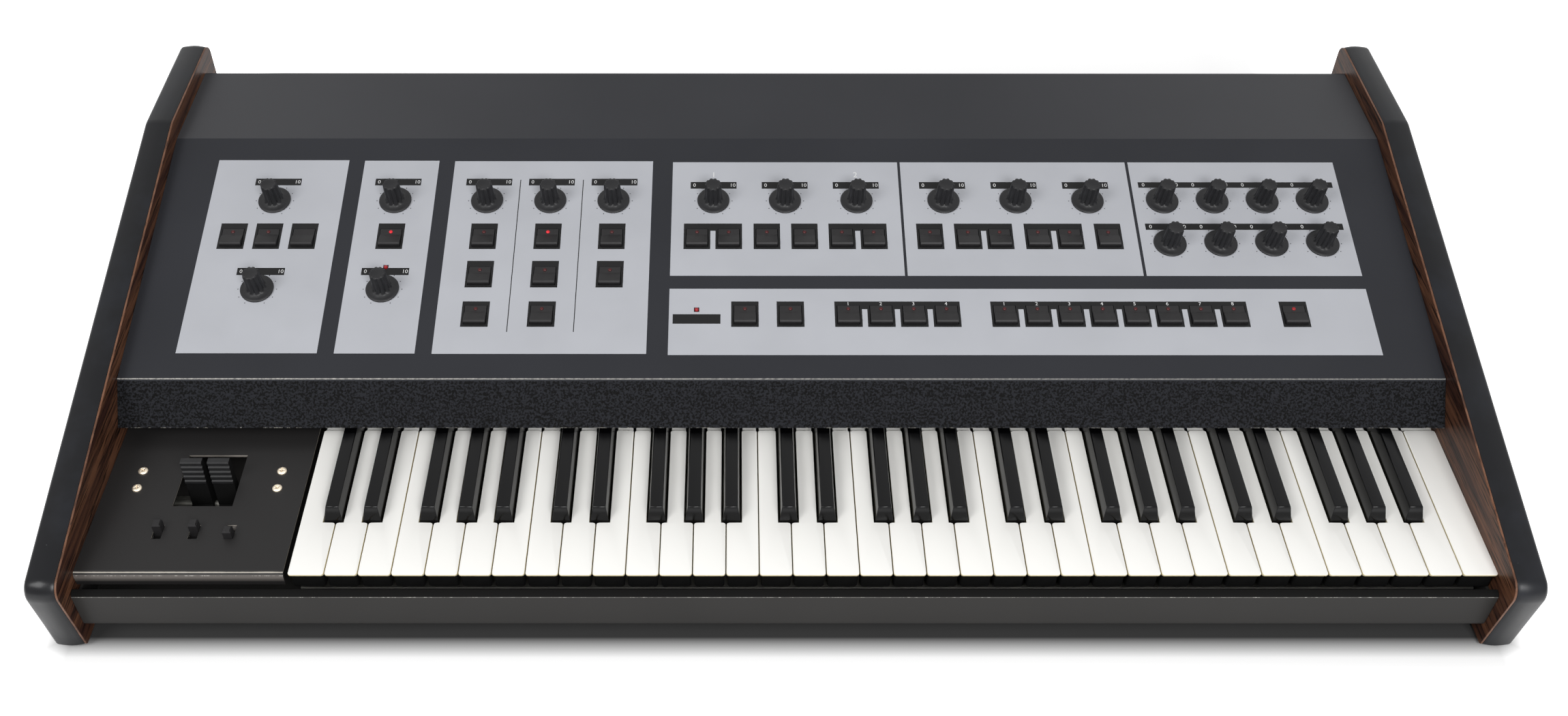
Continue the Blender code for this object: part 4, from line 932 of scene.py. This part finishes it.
for column, row in KNOBS.values():
    spread = 15.6 if column < fields["envelopes"][0] else 13.0
    for text, side in (("0", -1), ("10", 1)):
        print_numeral(text, column + side * spread, label_height(column, row), 3.6)
print_numeral("1", KNOBS["pitch_1"][0], 196.5, 5.6)
print_numeral("2", KNOBS["pitch_2"][0], 196.5, 5.6)
for first, count in ((PROGRAM, 8), (GROUP, 4)):
    for number in range(count):
        column = first + BUTTON_STEP * number
        print_numeral(str(number + 1), column, FRAME_SPAN["lower"][1] - 2.2, 3.2)
put("panel_numerals", to_mesh("numerals", numerals, white_ink), "chassis",
    on_panel)
print("dots and numerals printed")

# %% [markdown]
# ## The keys
# A white key is a cap of acrylic 2.8 mm thick over a slightly narrower body. The cap ends
# under the strip, and the dark body runs on to the pivot. The key's plan is a full-width
# head with a tail that is notched beside the sharps. A sharp is a tapered bar with a
# sloping front. Twelve keys press; the other 49 belong to the key frame's node, which is
# replaced by its tray, ledges, pivot bar and the keys one by one. A key is drawn round its
# pivot, which is 205 mm behind the front.

# %% Shape the keys
OCTAVE = 165.0
PITCH = OCTAVE / 7
FIRST_KEY = LEFT / MM + 153.4
REACH = 205.0
PIVOT = (KEY_FRONT / MM + REACH, 48.0)
SHARP_SHIFT = {1: -1.9, 2: 2.6, 4: -3.2, 5: 0.5, 6: 3.9}
NOTES = "cdefgab"
HALF_GAP, HALF_NOTCH, CORNER = 0.35, 7.5, 2.0
CAP_END = -63.8


def shoulder(side, tail, head, way):
    if abs(side - tail) < 1.5:
        return [(side, head - 1.8), (side, head - 0.9), (side, head - 0.4), (tail, head + 0.3)]
    return [(side, head - 1.8), (side - way * 0.5, head - 0.5), (side - way * 1.8, head),
            (tail, head + 0.1)]


def white_plan(index, inset, front, level, back=7.0):
    """A white key's outline at one level: its head, and its tail beside the sharps."""
    left_sharp = SHARP_SHIFT.get(index % 7)
    right_sharp = SHARP_SHIFT.get(index % 7 + 1) if index < 35 else None
    left, right = HALF_GAP + inset, PITCH - HALF_GAP - inset
    left -= 2.2 * (index == 0)
    right += 1.6 * (index == 35)
    tail_left = left if left_sharp is None else HALF_NOTCH + left_sharp + inset
    tail_right = right if right_sharp is None else PITCH - HALF_NOTCH + right_sharp - inset
    nose, head, back = front - REACH, 49.5 - REACH - inset, back - inset
    plan = []
    for x, turn in ((left, math.pi), (right, 1.5 * math.pi)):
        centre = x + (CORNER if x == left else -CORNER)
        for step in range(5):
            angle = turn + math.pi / 2 * step / 4
            plan.append((centre + CORNER * math.cos(angle), nose + CORNER * (1 + math.sin(angle))))
    plan += shoulder(right, tail_right, head, 1)
    plan += [(tail_right, back - 1.2), (tail_right - 1.2, back),
             (tail_left + 1.2, back), (tail_left, back - 1.2)]
    plan += shoulder(left, tail_left, head, -1)[::-1]
    return stand([(x * MM, y * MM) for x, y in plan], "Z", level * MM)


def white_key(index):
    form = bmesh.new()
    join_rings(form, [white_plan(index, 0.8, 4.0, -4.0), white_plan(index, 0.8, 4.0, 9.2),
                      white_plan(index, 0.0, 2.6, 9.2, CAP_END),
                      white_plan(index, 0.0, 1.7, 10.4, CAP_END),
                      white_plan(index, 0.0, 1.6, 11.6, CAP_END),
                      white_plan(index, 0.14, 1.74, 11.88, CAP_END),
                      white_plan(index, 0.4, 2.0, 12.0, CAP_END)])
    # Below the cap the key body takes the near-black painted shade.
    for face in form.faces:
        face.material_index = int(face.calc_center_median().z < 9.0 * MM)
    return to_mesh("white key", form, ivory, shade_black_body)


def sharp_ring(width, front, back, level, soft):
    half = width / 2
    plan = [(-half, front + soft), (-half + soft * 0.7, front + soft * 0.2),
            (half - soft * 0.7, front + soft * 0.2), (half, front + soft), (half, back),
            (-half, back)]
    return stand([(x * MM, y * MM) for x, y in plan], "Z", level * MM)


def sharp_key():
    foot = 50.4 - REACH
    form = bmesh.new()
    join_rings(form, [
        sharp_ring(13.2, foot, 7.0, -4.0, 0.4), sharp_ring(13.2, foot, 7.0, 12.0, 0.4),
        sharp_ring(9.5, foot + 4.0, -50.0, 22.6, 0.4),
        sharp_ring(9.2, foot + 4.3, -50.2, 23.1, 0.4),
        sharp_ring(8.8, foot + 4.7, -50.5, 23.4, 0.5),
        sharp_ring(8.0, foot + 5.3, -51.0, 23.5, 0.5)])
    return to_mesh("sharp key", form, ebony)


sharp_mesh = sharp_key()
for index in range(36):
    octave, note = divmod(index, 7)
    moving = octave == 2
    body = f"key_{NOTES[note]}" if moving else "chassis"
    spot = Matrix.Translation(((FIRST_KEY + index * PITCH) * MM, PIVOT[0] * MM, PIVOT[1] * MM))
    put(f"white_key_{index + 1:02d}", white_key(index), body, spot,
        body if moving else None)
    shift = SHARP_SHIFT.get(note + 1)
    if shift is not None and index < 35:
        body = f"key_{NOTES[note]}_sharp" if moving else "chassis"
        beside = spot @ Matrix.Translation(((PITCH + shift) * MM, 0.0, 0.0))
        put(f"sharp_key_{index + 1:02d}", sharp_mesh, body, beside,
            body if moving else None)

# %% Fold the key frame that carries them
tray = [(12.0, 21.1), (217.0, 21.1), (217.0, 31.5), (193.0, 31.5), (193.0, 23.1),
        (34.0, 23.1), (34.0, 31.5), (12.0, 31.5)]
start, end = FIRST_KEY * MM, INNER / 2 - 4.1 * MM
form = bmesh.new()
draw_out(form, [(KEY_FRONT + y * MM, z * MM) for y, z in tray], "X", start, end)
put("key_tray", to_mesh("key tray", form, dull_zinc), "chassis", node="key_frame",
    bevel=0.4 * MM)
low, high = (FIRST_KEY + 2 * OCTAVE) * MM, (FIRST_KEY + 3 * OCTAVE) * MM
form = bmesh.new()
for left, right in ((start, low), (high, end)):
    add_block(form, (left, (PIVOT[0] - 4.5) * MM, 31.4 * MM), (right, (PIVOT[0] + 4.5) * MM, 44 * MM))
add_block(form, (low, (PIVOT[0] - 1.5) * MM, 31.4 * MM), (high, (PIVOT[0] + 1.5) * MM, 46 * MM))
draw_out(form, disc(3 * MM, 24, (PIVOT[0] * MM, PIVOT[1] * MM)), "X", low, high)
put("key_ledges", to_mesh("key ledges", form, dull_zinc), "chassis")
print("a key is", round(PITCH, 2), "mm wide and 49 keys stay still")

# %% [markdown]
# ## Levers, screws and sockets
# Two ribbed levers stand in a square opening of the plate and turn on one shaft under it.
# Four zinc-plated screws with crossed slots hold their bracket. On the back are nine jacks
# with zinc-plated nuts on thin washers, and a mains inlet.

# %% Mould the levers
LEVER_TIP, HUB = 47.5, 6.5
lever_side = [(4.4, LEVER_TIP - 0.6), (3.8, LEVER_TIP)]
for rib in range(5):
    top, front = LEVER_TIP - 4.4 * rib, -0.2 - 0.55 * rib
    lever_side += [(front, top), (front - 1.0, top - 0.5), (front - 1.2, top - 2.6),
                   (front - 0.3, top - 3.2)]
for step in range(16):
    turn = math.pi * (0.75 + 1.5 * step / 15)
    lever_side.append((HUB * math.cos(turn), HUB * math.sin(turn)))
form = bmesh.new()
draw_out(form, [(y * MM, z * MM) for y, z in lever_side], "X", -8 * MM, 8 * MM)
# The lever's lower part, in the opening under the plate, takes the near-black painted shade.
for face in form.faces:
    face.material_index = int(face.calc_center_median().z < 24 * MM)
lever_mesh = to_mesh("lever", form, lever_abs, shade_black_body)
for name, column in (("bend", 66.5), ("modulation", 86.5)):
    spot = Matrix.Translation((LEFT + column * MM, KEY_FRONT + 90 * MM, 33 * MM))
    put(f"{name}_ribbed_lever", lever_mesh, f"{name}_lever", spot,
        f"{name}_lever", 0.35 * MM)
print("the levers rise", LEVER_TIP, "mm over their shaft")

# %% Turn the screws and cut their crossed slots
form = bmesh.new()
rings = [stand(disc(3.6 * MM, 32), "Z", 0.0)]
for step in range(7):
    turn = math.pi / 2 * step / 7
    rings.append(stand(disc((1.2 + 2.4 * math.cos(turn)) * MM, 32), "Z",
                       (0.5 + 1.1 * math.sin(turn)) * MM))
join_rings(form, rings)
screw_mesh = to_mesh("screw", form, screw_steel)
form = bmesh.new()
for x, y in ((2.1 * MM, 0.35 * MM), (0.35 * MM, 2.1 * MM)):
    add_block(form, (-x, -y, 0.7 * MM), (x, y, 3 * MM))
cross = bpy.data.objects.new("cross cutter", to_mesh("cross cutter", form, zinc))
bpy.context.scene.collection.objects.link(cross)
pattern = bpy.data.objects.new("screw pattern", screw_mesh)
bpy.context.scene.collection.objects.link(pattern)
slot_cut = pattern.modifiers.new("crossed slot", "BOOLEAN")
slot_cut.operation = "DIFFERENCE"
slot_cut.solver = "EXACT"
slot_cut.use_self = True
slot_cut.object = cross
bpy.context.view_layer.update()
cut_screw = bpy.data.meshes.new_from_object(
    pattern.evaluated_get(bpy.context.evaluated_depsgraph_get()))
bpy.data.objects.remove(pattern)
bpy.data.objects.remove(cross)
for number, (u, y, turn) in enumerate(((24.1, 82, 0.2), (24.1, 99, 0.9), (127.8, 82, 0.6),
                                       (127.8, 99, 0.1)), 1):
    spot = (Matrix.Translation((LEFT + u * MM, KEY_FRONT + y * MM, KEY_TOP))
            @ Matrix.Rotation(turn, 4, "Z"))
    put(f"plate_screw_{number}", cut_screw, "chassis", spot)
print("a screw has", len(cut_screw.polygons), "faces")

# %% Dress the back
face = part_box("rear_panel")[1].y - 4 * MM
form = bmesh.new()
washers = bmesh.new()
for jack in range(9):
    centre = (LEFT + (300 + 34 * jack) * MM, 86 * MM)
    for tool, radius, sides, near, proud in ((form, 7.9, 6, 0.8, 4.3),
                                             (washers, 8.6, 32, 0.05, 0.8)):
        outer, bore = disc(radius * MM, sides, centre), disc(3.5 * MM, sides, centre)
        low, high = face + near * MM, face + proud * MM
        join_rings(tool, [stand(outer, "Y", low), stand(outer, "Y", high),
                          stand(bore, "Y", high), stand(bore, "Y", low)], looped=True)
put("jack_nuts", to_mesh("jack nuts", form, zinc), "chassis", bevel=0.3 * MM)
put("jack_washers", to_mesh("jack washers", washers, dull_zinc), "chassis")
print("nine jacks have their nuts and washers")
